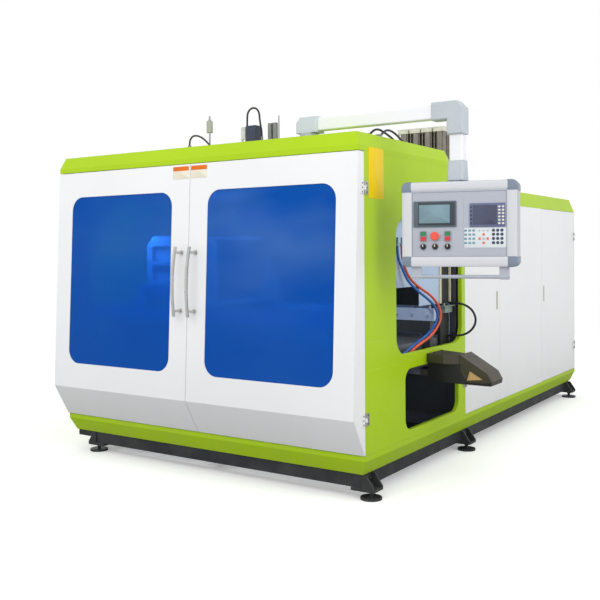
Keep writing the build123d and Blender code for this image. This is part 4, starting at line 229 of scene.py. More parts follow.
def finish(name, colour, roughness, metallic=0.0, *, tone, tone_scale=1.3, grain=0.0, grain_scale=700.0,
           stretch=None, coat=0.0, specular=0.5, edge=0.0, edge_size=0.004, dust=0.0, zones=()):
    """A surface with slow tone changes, a fine grain, worn or rounded edges, and zones of other finish."""
    material, tree, output = new_material(name)
    shader = add(tree, "ShaderNodeBsdfPrincipled",
                 {"Coat Weight": coat, "Coat Roughness": COAT_ROUGHNESS, "Specular IOR Level": specular})
    place = add(tree, "ShaderNodeTexCoord").outputs["Object"]
    paint = srgb(*colour)
    polish = roughness
    metal = metallic
    for low, high, zone_colour, zone_roughness, zone_metallic in zones:
        mask = inside(tree, place, low, high)
        paint = mixed(tree, mask, paint, srgb(*zone_colour))
        polish = add(tree, "ShaderNodeMix", {0: mask, 2: polish, 3: zone_roughness}).outputs[0]
        metal = add(tree, "ShaderNodeMix", {0: mask, 2: metal, 3: zone_metallic}).outputs[0]
    slow = noise(tree, place, tone_scale, 4.0)
    shade = (1 - tone, 1 - tone, 1 - tone, 1)
    darker = add(tree, "ShaderNodeMix", {6: paint, 7: shade}, data_type="RGBA", blend_type="MULTIPLY")
    tree.links.new(spread(tree, slow, 0.35, 0.65), darker.inputs[0])
    surface = darker.outputs[2]
    fine = noise(tree, place, grain_scale, 3.0, stretch)
    strength = min(1.0, GRAIN_STRENGTH + grain)
    bump = add(tree, "ShaderNodeBump", {"Height": fine, "Strength": strength, "Distance": GRAIN_DEPTH})
    if edge:
        bevel = add(tree, "ShaderNodeBevel", {"Radius": edge_size}, samples=4)
        tree.links.new(bevel.outputs[0], bump.inputs["Normal"])
        surface = worn(tree, place, surface, bevel.outputs[0], edge)
    if dust:
        surface = dusty(tree, place, surface, dust)
    tree.links.new(surface, shader.inputs["Base Color"])
    blotches = noise(tree, place, POLISH_SCALE, 3.0)
    varied = spread(tree, blotches, 0.3, 0.7, -POLISH_CHANGE, POLISH_CHANGE)
    tree.links.new(maths(tree, "ADD", polish, varied, clamp=True), shader.inputs["Roughness"])
    if isinstance(metal, float):
        shader.inputs["Metallic"].default_value = metal
    else:
        tree.links.new(metal, shader.inputs["Metallic"])
    tree.links.new(bump.outputs[0], shader.inputs["Normal"])
    tree.links.new(shader.outputs[0], output.inputs[0])
    return material


SHEET_ROUGHNESS = 0.06
ACRYLIC_IOR = 1.49
# Painted reflection on the windows: the ranges across and upwards over which its streaks grow stronger, and
# their stretch
PAINTED_SHEEN_X = (-0.4, 0.6)
PAINTED_SHEEN_Z = (1.0, 1.7)
PAINTED_SHEEN_STRETCH = (0.8, 0.8, 1.7)


def tinted_sheet(name, colour, painted_sheen_colour, seen_through, see_through):
    """A clear sheet with a strong tint, which passes part of the light and has painted reflection streaks,
    paler to the upper right.
    """
    material, tree, output = new_material(name)
    place = add(tree, "ShaderNodeTexCoord").outputs["Object"]
    parts = add(tree, "ShaderNodeSeparateXYZ", {0: place})
    # Painted reflection: pale blue streaks from noise, stronger to the right and higher up, mixed into the
    # tint
    across = spread(tree, parts.outputs[0], *PAINTED_SHEEN_X, 0.25, 1.0)
    upwards = spread(tree, parts.outputs[2], *PAINTED_SHEEN_Z, 0.15, 1.0)
    painted_sheen = spread(tree, noise(tree, place, 1.5, 2.0, PAINTED_SHEEN_STRETCH), 0.34, 0.7)
    painted_sheen = maths(tree, "MULTIPLY", painted_sheen, maths(tree, "MULTIPLY", across, upwards))
    tint = mixed(tree, painted_sheen, srgb(*colour), srgb(*painted_sheen_colour))
    shader = add(tree, "ShaderNodeBsdfPrincipled", {
        "Base Color": tint, "Roughness": SHEET_ROUGHNESS, "IOR": ACRYLIC_IOR, "Specular IOR Level": 0.15,
    })
    wave = noise(tree, place, 2.2, 1.0)
    bump = add(tree, "ShaderNodeBump", {"Height": wave, "Strength": 0.12, "Distance": 0.01})
    tree.links.new(bump.outputs[0], shader.inputs["Normal"])
    through = add(tree, "ShaderNodeBsdfTransparent", {0: srgb(*seen_through)})
    both = add(tree, "ShaderNodeMixShader", {0: see_through, 1: shader.outputs[0], 2: through.outputs[0]})
    tree.links.new(both.outputs[0], output.inputs[0])
    return material


# ---------------------------------------------------------------- finishes
GREEN = finish("green_powder_coat", (173, 208, 22), 0.42, tone=0.05, grain=0.1, specular=0.25, edge=0.25,
               dust=0.15)
WHITE = finish("white_powder_coat", (238, 239, 240), 0.4, tone=0.035, grain=0.1, edge=0.2, dust=0.2)
BASE = finish("base_paint", (42, 46, 51), 0.48, tone=0.25, tone_scale=3.0, grain=0.3, specular=0.3,
              edge=0.35, dust=0.15)
FRAME_GREY = finish("frame_grey", (120, 124, 130), 0.5, tone=0.12, grain=0.25, edge=0.3)
FRAME_DARK = finish("frame_dark", (64, 68, 74), 0.5, tone=0.15, grain=0.25, edge=0.2)
CAST = finish("cast_grey", (178, 185, 188), 0.46, tone=0.07, tone_scale=6.0, grain=0.5, grain_scale=420.0,
              edge=0.3)
BOX_PAINT = finish("box_paint", (174, 179, 190), 0.38, tone=0.04, tone_scale=5.0, grain=0.1, edge=0.25,
                   edge_size=0.002)
BRIGHT = finish("ground_steel", (186, 188, 192), 0.28, 1.0, tone=0.1, grain=0.2, stretch=(1, 12, 1),
                edge=0.3)
HANDLE = finish("brushed_steel", (206, 205, 202), 0.3, 1.0, tone=0.12, tone_scale=12.0, grain=0.25,
                stretch=(8, 8, 0.6), edge=0.2, edge_size=0.002)
ZINC = finish("zinc_plate", (190, 190, 186), 0.36, 0.9, tone=0.15, tone_scale=22.0, grain=0.3, edge=0.3,
              edge_size=0.0015)
LATCH = finish("latch_plate", (178, 168, 138), 0.4, 0.3, tone=0.1, tone_scale=22.0, grain=0.2, edge=0.3,
               edge_size=0.0015)
ALLOY = finish("milled_alloy", (172, 174, 179), 0.36, 0.9, tone=0.1, tone_scale=8.0, grain=0.25,
               stretch=(1, 1, 14), edge=0.3)
BAND = finish("heater_band", (165, 150, 130), 0.4, 0.8, tone=0.35, tone_scale=7.0, grain=0.3)
RACK = finish("rack_grey", (205, 205, 200), 0.5, tone=0.1, grain=0.2)
BLACK = finish("black_plastic", (32, 33, 36), 0.35, tone=0.2, tone_scale=20.0, grain=0.25,
               grain_scale=900.0)
RED = finish("red_plastic", (206, 44, 50), 0.3, tone=0.1, tone_scale=30.0, grain=0.1, coat=0.3)
RED_LIGHT = finish("stop_red", (238, 82, 58), 0.34, tone=0.1, tone_scale=30.0, grain=0.1, coat=0.25)
GREEN_KEY = finish("start_green", (34, 128, 82), 0.3, tone=0.1, tone_scale=30.0, grain=0.1, coat=0.3)
CAPS = finish("corner_plastic", (122, 135, 152), 0.42, tone=0.08, tone_scale=14.0, grain=0.3,
              grain_scale=900.0, edge=0.3, edge_size=0.002)
YELLOW = finish("yellow_plate", (240, 206, 12), 0.4, tone=0.05, tone_scale=9.0, grain=0.08, specular=0.2)
ORANGE_PLATE = finish("orange_plate", (226, 112, 30), 0.4, tone=0.05, tone_scale=9.0, grain=0.08,
                      specular=0.2)
CREAM = finish("cream_plate", (232, 226, 205), 0.35, tone=0.05, tone_scale=9.0, grain=0.08, coat=0.3)
BLUE_HOSE_SKIN = finish("blue_hose", (30, 96, 178), 0.34, tone=0.15, tone_scale=16.0, grain=0.2, coat=0.2)
ORANGE_HOSE_SKIN = finish("orange_hose", (222, 92, 62), 0.36, tone=0.15, tone_scale=16.0, grain=0.2,
                          coat=0.2)
BLACK_HOSE_SKIN = finish("black_hose", (34, 36, 46), 0.42, tone=0.2, tone_scale=18.0, grain=0.35)
# The second colour is the pale blue of the painted reflection streaks
WINDOW = tinted_sheet("window_blue", (0, 104, 206), (92, 148, 218), (104, 172, 246), 0.52)

# Nodes with more than one finish. Their meshes lie in the CAD frame, and so do the bounds of their zones
RAIL_LEGS_Z1 = 1.0045
RAIL_GUIDES_Z0 = 1.0905
COLUMN_Y0 = FRONT_Y + 1.264
COLUMN_Y1 = FRONT_Y + 1.430
COLUMN_DARK = (COLUMN_Y0 - 0.001, COLUMN_Y1 - 0.019)
COLUMN_EDGES = ((COLUMN_Y0 - 0.027, COLUMN_Y0 + 0.0005), (COLUMN_Y1 - 0.0205, COLUMN_Y1 + 0.001))
COLUMN_EDGE_Z0 = 1.1115
VALVE_SHELF_X0 = SIDE_X - 0.0855
VALVE_SHELF_Z0 = 1.0415
INNER_TRAY_X1 = SIDE_X - 0.05
ARM_BASE_X1 = SIDE_X - 0.4735
TUBE_HEIGHTS = (2.0195, 2.1705)
ROOF_PLATE_TOP_Z = ROOF_Z + 0.0155
VALVE_BODY = (SIDE_X - 1.3005, SIDE_X - 1.2135)
VALVE_BRACKET = (SIDE_X - 1.372, SIDE_X - 1.326)
STOP_BLOCK_HEIGHTS = (2.394, 2.481)
MOTOR_Y0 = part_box("extruder_drive")[0].y + 0.42
BANK_CAPS_Z0 = 2.4015

RAIL = finish(
    "rail_paint", (176, 190, 214), 0.32, 0.2, tone=0.08, tone_scale=5.0, grain=0.1, edge=0.2,
    zones=[
        zone((50, 52, 56), 0.5, z=(None, RAIL_LEGS_Z1)),
        zone((150, 156, 166), 0.3, 0.8, z=(RAIL_GUIDES_Z0, None)),
    ],
)
SERVICE = finish(
    "service_panel", (178, 200, 226), 0.3, 0.6, tone=0.1, tone_scale=3.0, grain=-0.09, grain_scale=60.0,
    edge=0.3,
    zones=[
        zone((44, 45, 47), 0.5, y=COLUMN_DARK),
        *[zone((214, 207, 180), 0.45, y=strip, z=(COLUMN_EDGE_Z0, None)) for strip in COLUMN_EDGES],
        zone((142, 156, 150), 0.4, 0.3, x=(VALVE_SHELF_X0, None), z=(VALVE_SHELF_Z0, COLUMN_EDGE_Z0)),
    ],
)
TRAY = finish(
    "tray_steel", (84, 79, 70), 0.5, 0.55, tone=0.18, tone_scale=7.0, grain=0.3, edge=0.35,
    zones=[zone((128, 130, 140), 0.4, 0.6, x=(None, INNER_TRAY_X1))],
)
ARM = finish(
    "arm_paint", (240, 240, 246), 0.36, tone=0.04, grain=0.1, edge=0.2,
    zones=[zone((202, 208, 220), 0.46, x=(None, ARM_BASE_X1))],
)
ELBOW = finish(
    "arm_castings", (186, 194, 201), 0.46, tone=0.06, tone_scale=6.0, grain=0.45, grain_scale=420.0,
    edge=0.3,
    zones=[zone((236, 237, 242), 0.36, z=TUBE_HEIGHTS)],
)
ROOF_ZINC = finish(
    "roof_valves", (150, 151, 148), 0.38, 0.8, tone=0.15, tone_scale=20.0, grain=0.3, edge=0.3,
    edge_size=0.0015,
    zones=[
        zone((60, 68, 92), 0.4, 0.2, x=VALVE_BODY, z=(ROOF_PLATE_TOP_Z, None)),
        zone((222, 224, 226), 0.4, 0.3, x=VALVE_BRACKET, z=(ROOF_PLATE_TOP_Z, None)),
    ],
)
BLOW_STEEL = finish(
    "blow_pin_steel", (184, 186, 190), 0.28, 1.0, tone=0.1, grain=0.2, edge=0.3,
    zones=[zone((176, 176, 170), 0.5, 0.2, z=STOP_BLOCK_HEIGHTS)],
)
DRIVE = finish(
    "drive_paint", (104, 122, 140), 0.45, tone=0.12, tone_scale=4.0, grain=0.3, edge=0.3,
    zones=[zone((72, 84, 96), 0.45, 0.1, y=(MOTOR_Y0, None))],
)
BANK = finish(
    "cylinder_bank", (152, 146, 138), 0.28, 0.9, tone=0.2, tone_scale=25.0, grain=0.2, stretch=(1, 1, 0.2),
    edge=0.3,
    zones=[zone((226, 222, 212), 0.4, 0.35, z=(BANK_CAPS_Z0, None))],
)

NODE_FINISHES = {
    "base_frame": BASE, "levelling_feet": BASE, "lower_skirt": GREEN, "right_side_panel": GREEN,
    "left_side_panel": GREEN, "roof_cover": GREEN, "rear_cover": GREEN, "steel_frame": FRAME_DARK,
    "rear_panels": WHITE, "back_panel": WHITE, "extruder_barrel": BAND, "extruder_drive": DRIVE,
    "hopper": BRIGHT, "die_head": BRIGHT, "cylinder_bank": BANK, "roof_valves": ROOF_ZINC,
    "shuttle_rails": RAIL, "blow_bridge": FRAME_GREY, "chute": TRAY, "service_panel": SERVICE,
    "hinge_posts": ZINC, "arm_base": CAST, "hydraulic_unit": FRAME_GREY, "electrical_rack": RACK,
    "left_door": WHITE, "right_door": WHITE, "left_window": WINDOW, "right_window": WINDOW,
    "left_handle": HANDLE, "right_handle": HANDLE, "front_cabinet_door": WHITE,
    "rear_cabinet_door": WHITE, "front_latch": LATCH, "rear_latch": LATCH, "arm_beam": ARM,
    "arm_column": ELBOW, "control_box": BOX_PAINT, "box_handle": BOX_PAINT, "e_stop": RED_LIGHT,
    "left_start_button": GREEN_KEY, "right_start_button": GREEN_KEY, "left_stop_button": RED,
    "right_stop_button": RED, "selector_left": BLACK, "selector_middle": BLACK, "selector_right": BLACK,
    "carriage": CAST, "tie_bars": BRIGHT, "front_platen": CAST, "rear_platen": CAST, "front_mould": ALLOY,
    "rear_mould": ALLOY, "blow_pins": BLOW_STEEL,
}
for node_name, node_finish in NODE_FINISHES.items():
    for material_slot in NODES[node_name].material_slots:
        material_slot.material = node_finish


# ---------------------------------------------------------------- cords
ROUND_STEPS = 5
LINE_STEPS = 10
BAY_HOSE_D = 0.018
LOOP_HOSE_D = 0.016
ROOF_LINE_D = 0.014


def from_side(points):
    """Route points in millimetres from the side plane and the panels' front edge, as in the CAD source."""
    return [Vector((SIDE_X + x / 1000, FRONT_Y + y / 1000, z / 1000)) for x, y, z in points]


def make_cord(node, points, diameter, skin):
    """A free hose that stands for its CAD node and follows the same route on one smooth line."""
    data = bpy.data.curves.new(node + "_line", "CURVE")
    data.dimensions = "3D"
    data.bevel_depth = diameter / 2
    data.bevel_resolution = ROUND_STEPS
    data.use_fill_caps = True
    data.resolution_u = LINE_STEPS
    spline = data.splines.new("NURBS")
    spline.points.add(len(points) - 1)
    for point, place in zip(spline.points, points):
        point.co = (*place, 1)
    spline.order_u = 3
    spline.use_endpoint_u = True
    data.materials.append(skin)
    hose = bpy.data.objects.new(node + "_visual", data)
    bpy.context.collection.objects.link(hose)
    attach(hose, "frame")
    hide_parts(node)


BLUE_HOSE = [
    (-64, 545, 1526), (-64, 545, 1455), (-46, 585, 1375), (-35, 636, 1295), (-7, 723, 1228),
    (18, 825, 1172), (34, 917, 1112), (34, 962, 1040), (6, 945, 966), (-28, 891, 908), (-60, 803, 868),
    (-70, 713, 835), (-78, 622, 802),
]
ORANGE_HOSE = [
    (-64, 612, 1526), (-64, 612, 1452), (-58, 647, 1372), (-46, 702, 1300), (-18, 784, 1244),
    (22, 881, 1188), (42, 953, 1118), (46, 988, 1040), (24, 960, 962), (3, 894, 906), (-31, 818, 868),
    (-53, 752, 836), (-66, 694, 802),
]
LOOP_HOSE = [
    (-70, 1370, 1112), (-4, 1370, 1112), (61, 1382, 1098), (112, 1393, 1055), (133, 1398, 992),
    (112, 1394, 929), (61, 1384, 886), (-4, 1370, 872), (-70, 1370, 872),
]
TALL_HOSE = [
    (-1313, 600, 2331), (-1313, 600, 2370), (-1314, 599, 2420), (-1312, 598, 2466), (-1310, 598, 2502),
    (-1295, 598, 2527), (-1271, 598, 2541), (-1243, 598, 2541), (-1219, 598, 2527), (-1204, 599, 2502),
    (-1201, 599, 2466), (-1194, 600, 2416), (-1182, 600, 2366), (-1182, 600, 2326),
]
LEFT_HOSE = [
    (-1871, 600, 2315), (-1871, 600, 2344), (-1856, 599, 2369), (-1831, 597, 2384), (-1783, 588, 2381),
    (-1728, 572, 2362), (-1680, 559, 2334), (-1642, 554, 2302), (-1616, 553, 2274), (-1600, 553, 2243),
    (-1600, 553, 2214),
]
FRONT_CABLE = [
    (-92, 240, 2216), (-88, 262, 2234), (-84, 292, 2249), (-82, 332, 2256), (-82, 382, 2251),
    (-83, 438, 2239), (-86, 496, 2228), (-95, 556, 2219), (-110, 612, 2213),
]
REAR_CABLE = [
    (-56, 318, 2216), (-55, 342, 2234), (-54, 374, 2250), (-53, 416, 2258), (-54, 468, 2254),
    (-58, 526, 2243), (-66, 586, 2230), (-78, 646, 2219), (-92, 702, 2213),
]
make_cord("blue_hose", from_side(BLUE_HOSE), BAY_HOSE_D, BLUE_HOSE_SKIN)
make_cord("orange_hose", from_side(ORANGE_HOSE), BAY_HOSE_D, ORANGE_HOSE_SKIN)
make_cord("loop_hose", from_side(LOOP_HOSE), LOOP_HOSE_D, BLACK_HOSE_SKIN)
for roof_node, route, route_length, bend in (
    ("roof_hose_tall", TALL_HOSE, 0.488, "limp"),
    ("roof_hose_left", LEFT_HOSE, 0.402, "limp"),
    ("roof_cable_front", FRONT_CABLE, 0.389, "medium"),
    ("roof_cable_rear", REAR_CABLE, 0.401, "medium"),
):
    make_cord(roof_node, from_side(route), ROOF_LINE_D, BLACK_HOSE_SKIN)


# ---------------------------------------------------------------- mesh helpers
CORNER_STEPS = 4
SCREW_SIDES = 18
SMOOTH_ANGLE = math.radians(35)


def rounded(width, height, radius):
    """The outline of a rounded rectangle round the origin."""
    points = []
    for turn, (side_x, side_y) in enumerate(((1, 1), (-1, 1), (-1, -1), (1, -1))):
        for step in range(CORNER_STEPS + 1):
            angle = (turn + step / CORNER_STEPS) * math.pi / 2
            points.append(Vector((side_x * (width / 2 - radius) + radius * math.cos(angle),
                                  side_y * (height / 2 - radius) + radius * math.sin(angle))))
    return points


def circle(radius, sides):
    """The outline of a circle round the origin."""
    angles = [2 * math.pi * i / sides for i in range(sides)]
    return [Vector((radius * math.cos(angle), radius * math.sin(angle))) for angle in angles]


def add_level(mesh, place, outline, height):
    """The vertices of an outline at a height over its place."""
    return [mesh.verts.new(place @ Vector((point.x, point.y, height))) for point in outline]


def join_levels(mesh, levels):
    """The side faces between each level of vertices and the next."""
    for lower, upper in zip(levels, levels[1:]):
        for i in range(len(lower)):
            after = (i + 1) % len(lower)
            mesh.faces.new((lower[i], lower[after], upper[after], upper[i]))


def close_ends(mesh, levels):
    """The faces over the first and the last level."""
    mesh.faces.new(list(reversed(levels[0])))
    mesh.faces.new(levels[-1])


def add_prism(mesh, outline, place, depth, lip):
    """An outline raised from its place along its Z by depth, with its far edge drawn in by lip."""
    centre = sum(outline, Vector((0, 0))) / len(outline)
    levels = []
    for height, drawn in ((0.0, 0.0), (depth - lip, 0.0), (depth - lip * 0.3, 0.3), (depth, 1.0)):
        inner = [point - (point - centre).normalized() * lip * drawn for point in outline]
        levels.append(add_level(mesh, place, inner, height))
    join_levels(mesh, levels)
    close_ends(mesh, levels)


def add_ring(mesh, place, profile, sides=24):
    """A turned ring: profile is pairs of radius and height, closed round."""
    levels = [add_level(mesh, place, circle(radius, sides), height) for radius, height in profile]
    join_levels(mesh, levels + levels[:1])


def add_cap_screw(mesh, place, radius, height):
    """A round head with a round socket that narrows a little downwards."""
    profile = (
        (radius, 0.0), (radius, height * 0.8), (radius * 0.9, height),
        (radius * 0.5, height), (radius * 0.48, height * 0.35),
    )
    levels = [add_level(mesh, place, circle(ring, SCREW_SIDES), level) for ring, level in profile]
    join_levels(mesh, levels)
    close_ends(mesh, levels)


def add_nut(mesh, place, across, height):
    """A hexagon head with a washer under it."""
    washer = height * 0.18
    add_prism(mesh, circle(across * 0.62, 24), place, washer, height * 0.04)
    on_washer = place @ Matrix.Translation((0, 0, washer))
    corner_radius = across * 0.5 / math.cos(math.pi / 6)
    add_prism(mesh, circle(corner_radius, 6), on_washer, height - washer, height * 0.12)


def make_piece(name, mesh, material, body):
    """The finished object of a bmesh, riding on its body."""
    bmesh.ops.recalc_face_normals(mesh, faces=mesh.faces)
    data = bpy.data.meshes.new(name)
    mesh.to_mesh(data)
    mesh.free()
    data.materials.append(material)
    for polygon in data.polygons:
        polygon.use_smooth = True
    data.set_sharp_from_angle(angle=SMOOTH_ANGLE)
    piece = bpy.data.objects.new(name, data)
    bpy.context.collection.objects.link(piece)
    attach(piece, body)


def facing(origin, x_axis, z_axis):
    """A placing matrix with its X along x_axis and its Z along z_axis."""
    z_axis = Vector(z_axis).normalized()
    x_axis = Vector(x_axis).normalized()
    turn = Matrix((x_axis, z_axis.cross(x_axis), z_axis)).transposed()
    return Matrix.Translation(origin) @ turn.to_4x4()


# ---------------------------------------------------------------- plates
PLATE_T = 0.0015
PLATE_LIP = 0.0006
# Width, height and corner radius, like the other rounded outlines below
SIDE_PLATE = (0.186, 0.304, 0.006)
SIDE_PLATE_PLACE = (SIDE_X, FRONT_Y + 0.148, 1.962)
# Door, side of the machine's middle, gap to it, and width
DOOR_PLATES = (("left_door", -1, 0.010, 0.142), ("right_door", 1, 0.006, 0.140))
DOOR_PLATE_H = 0.085
DOOR_PLATE_R = 0.004
DOOR_PLATE_Z = 2.0265
HEAD_H = 0.029
HEAD_R = 0.003
HEAD_Z = 2.0535
HEAD_T = 0.0006
HEAD_LIP = 0.0003
HEAD_INSET = 0.0015


def on_door(x, z, out=0.0):
    """A placing matrix on the front of a door at x and height z, looking outwards."""
    share = (DOOR_TOP_Z - z) / (DOOR_TOP_Z - DOOR_KINK_Z)
    face_y = FRONT_Y - (DOOR_TOP_OUT + share * (DOOR_KINK_OUT - DOOR_TOP_OUT))
    normal = Vector((0, -math.cos(DOOR_TILT), math.sin(DOOR_TILT)))
    return facing(Vector((x, face_y, z)) + normal * out, (1, 0, 0), normal)


def make_plates():
    """Plain colour plates: one on the right side and one on each front door."""
    mesh = bmesh.new()
    place = facing(SIDE_PLATE_PLACE, (0, 1, 0), (1, 0, 0))
    add_prism(mesh, rounded(*SIDE_PLATE), place, PLATE_T, PLATE_LIP)
    make_piece("side_plate", mesh, YELLOW, "frame")
    for body, side, gap, width in DOOR_PLATES:
        middle = MID_X + side * (gap + width / 2)
        mesh = bmesh.new()
        outline = rounded(width, DOOR_PLATE_H, DOOR_PLATE_R)
        add_prism(mesh, outline, on_door(middle, DOOR_PLATE_Z), PLATE_T, PLATE_LIP)
        make_piece(body + "_plate", mesh, CREAM, body)
        mesh = bmesh.new()
        outline = rounded(width - 2 * HEAD_INSET, HEAD_H, HEAD_R)
        add_prism(mesh, outline, on_door(middle, HEAD_Z, PLATE_T), HEAD_T, HEAD_LIP)
        make_piece(body + "_plate_head", mesh, ORANGE_PLATE, body)


make_plates()


# ---------------------------------------------------------------- control box
BOX_U = Vector((math.cos(BOX_TURN), math.sin(BOX_TURN), 0))
BOX_N = Vector((math.sin(BOX_TURN), -math.cos(BOX_TURN), 0))
BOX_MIDDLE = Vector((*BOX_POST, BOX_Z0 + BOX_H / 2)) + BOX_U * BOX_SHIFT


def on_box(u, v, depth):
    """A placing matrix at a place of the front's grid, at a depth behind the front plane."""
    across = u / 1000 * GRID_U - BOX_W / 2
    up = BOX_H / 2 - v / 1000
    origin = BOX_MIDDLE + BOX_U * across + Vector((0, 0, up)) + BOX_N * (BOX_D / 2 - depth)
    return facing(origin, BOX_U, BOX_N)


def on_box_rect(u0, u1, v0, v1, depth, radius):
    """The outline and the placing matrix of a rounded rectangle on the front."""
    outline = rounded((u1 - u0) / 1000 * GRID_U, (v1 - v0) / 1000, radius)
    return outline, on_box((u0 + u1) / 2, (v0 + v1) / 2, depth)


def make_corner_caps():
    """Moulded caps over the four corners of the housing, proud of its frame sections."""
    proud = 0.0025
    cap = 0.057
    arc = 0.034
    lip = 0.004
    steps = 6
    centre = Vector((proud - arc, proud - arc))
    mesh = bmesh.new()
    for side_u in (-1, 1):
        for side_v in (-1, 1):
            outline = [Vector((-cap, -cap)), Vector((proud, -cap))]
            for step in range(steps + 1):
                angle = step / steps * math.pi / 2
                outline.append(centre + arc * Vector((math.cos(angle), math.sin(angle))))
            outline.append(Vector((-cap, proud)))
            outline = [Vector((point.x * side_u, point.y * side_v)) for point in outline]
            if side_u * side_v < 0:
                outline.reverse()
            corner = BOX_MIDDLE + BOX_U * (side_u * BOX_W / 2) + Vector((0, 0, side_v * BOX_H / 2))
            place = facing(corner - BOX_N * (BOX_D / 2 + proud), BOX_U, BOX_N)
            add_prism(mesh, outline, place, BOX_D + 2 * proud, lip)
    make_piece("box_corner_caps", mesh, CAPS, "control_box")


# Whether a section stands upright, its two edges and its two ends, all on the grid of the front
SECTIONS = (
    (True, (2, 64), (60, 433)), (True, (669, 731), (60, 433)),
    (False, (2, 50), (60, 673)), (False, (437, 491), (60, 673)),
)
# Rectangles on the grid, here and below, are (u0, u1, v0, v1)
# Painted shade: dark strips in the grooves under the top section and along the inner edges of the upright
# ones
GROOVE_SHADE_LINES = ((64, 669, 50, 55), (64, 68, 55, 437), (665, 669, 55, 437))
GROOVE_SHADE_DEPTH = 0.0028
GROOVE_SHADE_R = 0.0005
GROOVE_SHADE_T = 0.0006
GROOVE_SHADE_LIP = 0.0001


def make_frame_sections():
    """The rounded faces of the sections between the corner caps, and the painted shade in the grooves along
    them.
    """
    mesh = bmesh.new()
    bulge = 0.004
    steps = 8
    for upright, (near, far), span in SECTIONS:
        rows = []
        for step in range(steps + 1):
            share = step / steps
            across = near + (far - near) * share
            height = bulge * (1 - (2 * share - 1) ** 4)
            ends = []
            for along in span:
                u, v = (across, along) if upright else (along, across)
                ends.append(mesh.verts.new(on_box(u, v, -height).translation))
            rows.append(ends)
        for lower, upper in zip(rows, rows[1:]):
            mesh.faces.new((lower[0], lower[1], upper[1], upper[0]))
        mesh.faces.new([row[0] for row in rows])
        mesh.faces.new([row[1] for row in reversed(rows)])
        mesh.faces.new((rows[0][0], rows[-1][0], rows[-1][1], rows[0][1]))
    section_skin = finish("section_paint", (206, 208, 213), 0.36, tone=0.03, grain=0.08)
    make_piece("box_frame_sections", mesh, section_skin, "control_box")
    mesh = bmesh.new()
    for corners in GROOVE_SHADE_LINES:
        outline, place = on_box_rect(*corners, GROOVE_SHADE_DEPTH, GROOVE_SHADE_R)
        add_prism(mesh, outline, place, GROOVE_SHADE_T, GROOVE_SHADE_LIP)
    # Painted shade: a dark blue-grey for the shadow in the grooves
    groove_shade_skin = finish("groove_painted_shade", (66, 70, 86), 0.5, tone=0.1, tone_scale=20.0, grain=0.1)
    make_piece("box_groove_shade_lines", mesh, groove_shade_skin, "control_box")


LEFT_FRAME = (76, 354, 112, 263)
LEFT_INNER = (106, 344, 119, 252)
LEFT_GLASS = (113, 312, 133, 240)
RIGHT_FRAME = (437, 659, 130, 265)
RIGHT_GLASS = (457, 607, 141, 252)
DISPLAY_FRAME_T = 0.0025
DISPLAY_INNER_T = 0.0012
DISPLAY_LIP = 0.0008
ON_FRAME = SURROUND_DEPTH - DISPLAY_FRAME_T
ON_INNER = ON_FRAME - DISPLAY_INNER_T
SIDE_KEY = (0.010, 0.012, 0.002)
SIDE_KEY_T = 0.0012
SIDE_KEY_LIP = 0.0005
SIDE_KEY_U = 446
SIDE_KEY_ROWS = (152, 174, 197, 220, 243)
WHITE_KEY = (0.013, 0.010, 0.003)
WHITE_KEY_COLUMNS = (622, 645)
WHITE_KEY_ROWS = (151, 170, 189, 208, 227, 246)
KEY_T = 0.0014
KEY_LIP = 0.0006


def make_screens():
    """Two display frames with their glass, and the key strips on both sides of the right-hand glass."""
    frame_skin = finish("display_frame", (84, 97, 108), 0.4, tone=0.08, tone_scale=18.0, grain=0.2)
    inner_skin = finish("display_inner", (52, 60, 68), 0.45, tone=0.08, tone_scale=18.0, grain=0.2)
    glass = finish("display_glass", (116, 148, 160), 0.08, tone=0.22, tone_scale=9.0, coat=0.8)
    dark_glass = finish("display_dark_glass", (56, 62, 92), 0.08, tone=0.2, tone_scale=9.0, coat=0.8)
    violet = finish("display_surround", (98, 104, 140), 0.4, tone=0.1, tone_scale=18.0, grain=0.15)
    for name, corners, depth, thickness, skin, radius in (
        ("left_display_frame", LEFT_FRAME, SURROUND_DEPTH, DISPLAY_FRAME_T, frame_skin, 0.005),
        ("left_display_inner", LEFT_INNER, ON_FRAME, DISPLAY_INNER_T, inner_skin, 0.003),
        ("left_display_glass", LEFT_GLASS, ON_INNER, 0.0008, glass, 0.002),
        ("right_display_frame", RIGHT_FRAME, SURROUND_DEPTH, DISPLAY_FRAME_T, violet, 0.004),
        ("right_display_glass", RIGHT_GLASS, ON_FRAME, 0.001, dark_glass, 0.002),
    ):
        mesh = bmesh.new()
        outline, place = on_box_rect(*corners, depth, radius)
        add_prism(mesh, outline, place, thickness, DISPLAY_LIP)
        make_piece(name, mesh, skin, "control_box")
    mesh = bmesh.new()
    for row in SIDE_KEY_ROWS:
        add_prism(mesh, rounded(*SIDE_KEY), on_box(SIDE_KEY_U, row, ON_FRAME), SIDE_KEY_T, SIDE_KEY_LIP)
    make_piece("display_side_keys", mesh, inner_skin, "control_box")
    mesh = bmesh.new()
    for column in WHITE_KEY_COLUMNS:
        for row in WHITE_KEY_ROWS:
            add_prism(mesh, rounded(*WHITE_KEY), on_box(column, row, ON_FRAME), KEY_T, KEY_LIP)
    make_piece("display_white_keys", mesh, CREAM, "control_box")


OVERLAY = (402, 664, 270, 384)
OVERLAY_DEPTH = 0.002
OVERLAY_R = 0.004
OVERLAY_T = 0.0005
OVERLAY_LIP = 0.0002
OVERLAY_ROWS = (285, 308, 332, 356)
TEAL_COLUMNS = (411, 437, 462)
PALE_PLACES = ((498, 286), (524, 286), (550, 286))
MIDDLE_PLACE = (524, 332)
ARROW_PLACES = ((524, 308), (499, 332), (549, 332), (524, 356))
NUMBER_COLUMNS = (585, 611, 637)
# Sizes of keys in millimetres, and their corner radius as a share of a half round
TEAL_KEY = (15, 12)
PALE_KEY = (11, 9)
MIDDLE_KEY = (12, 12)
ARROW_KEY = (13, 13)
NUMBER_KEY = (18, 18)
NEARLY_ROUND = 0.98
ROUNDED_CORNERS = 0.35


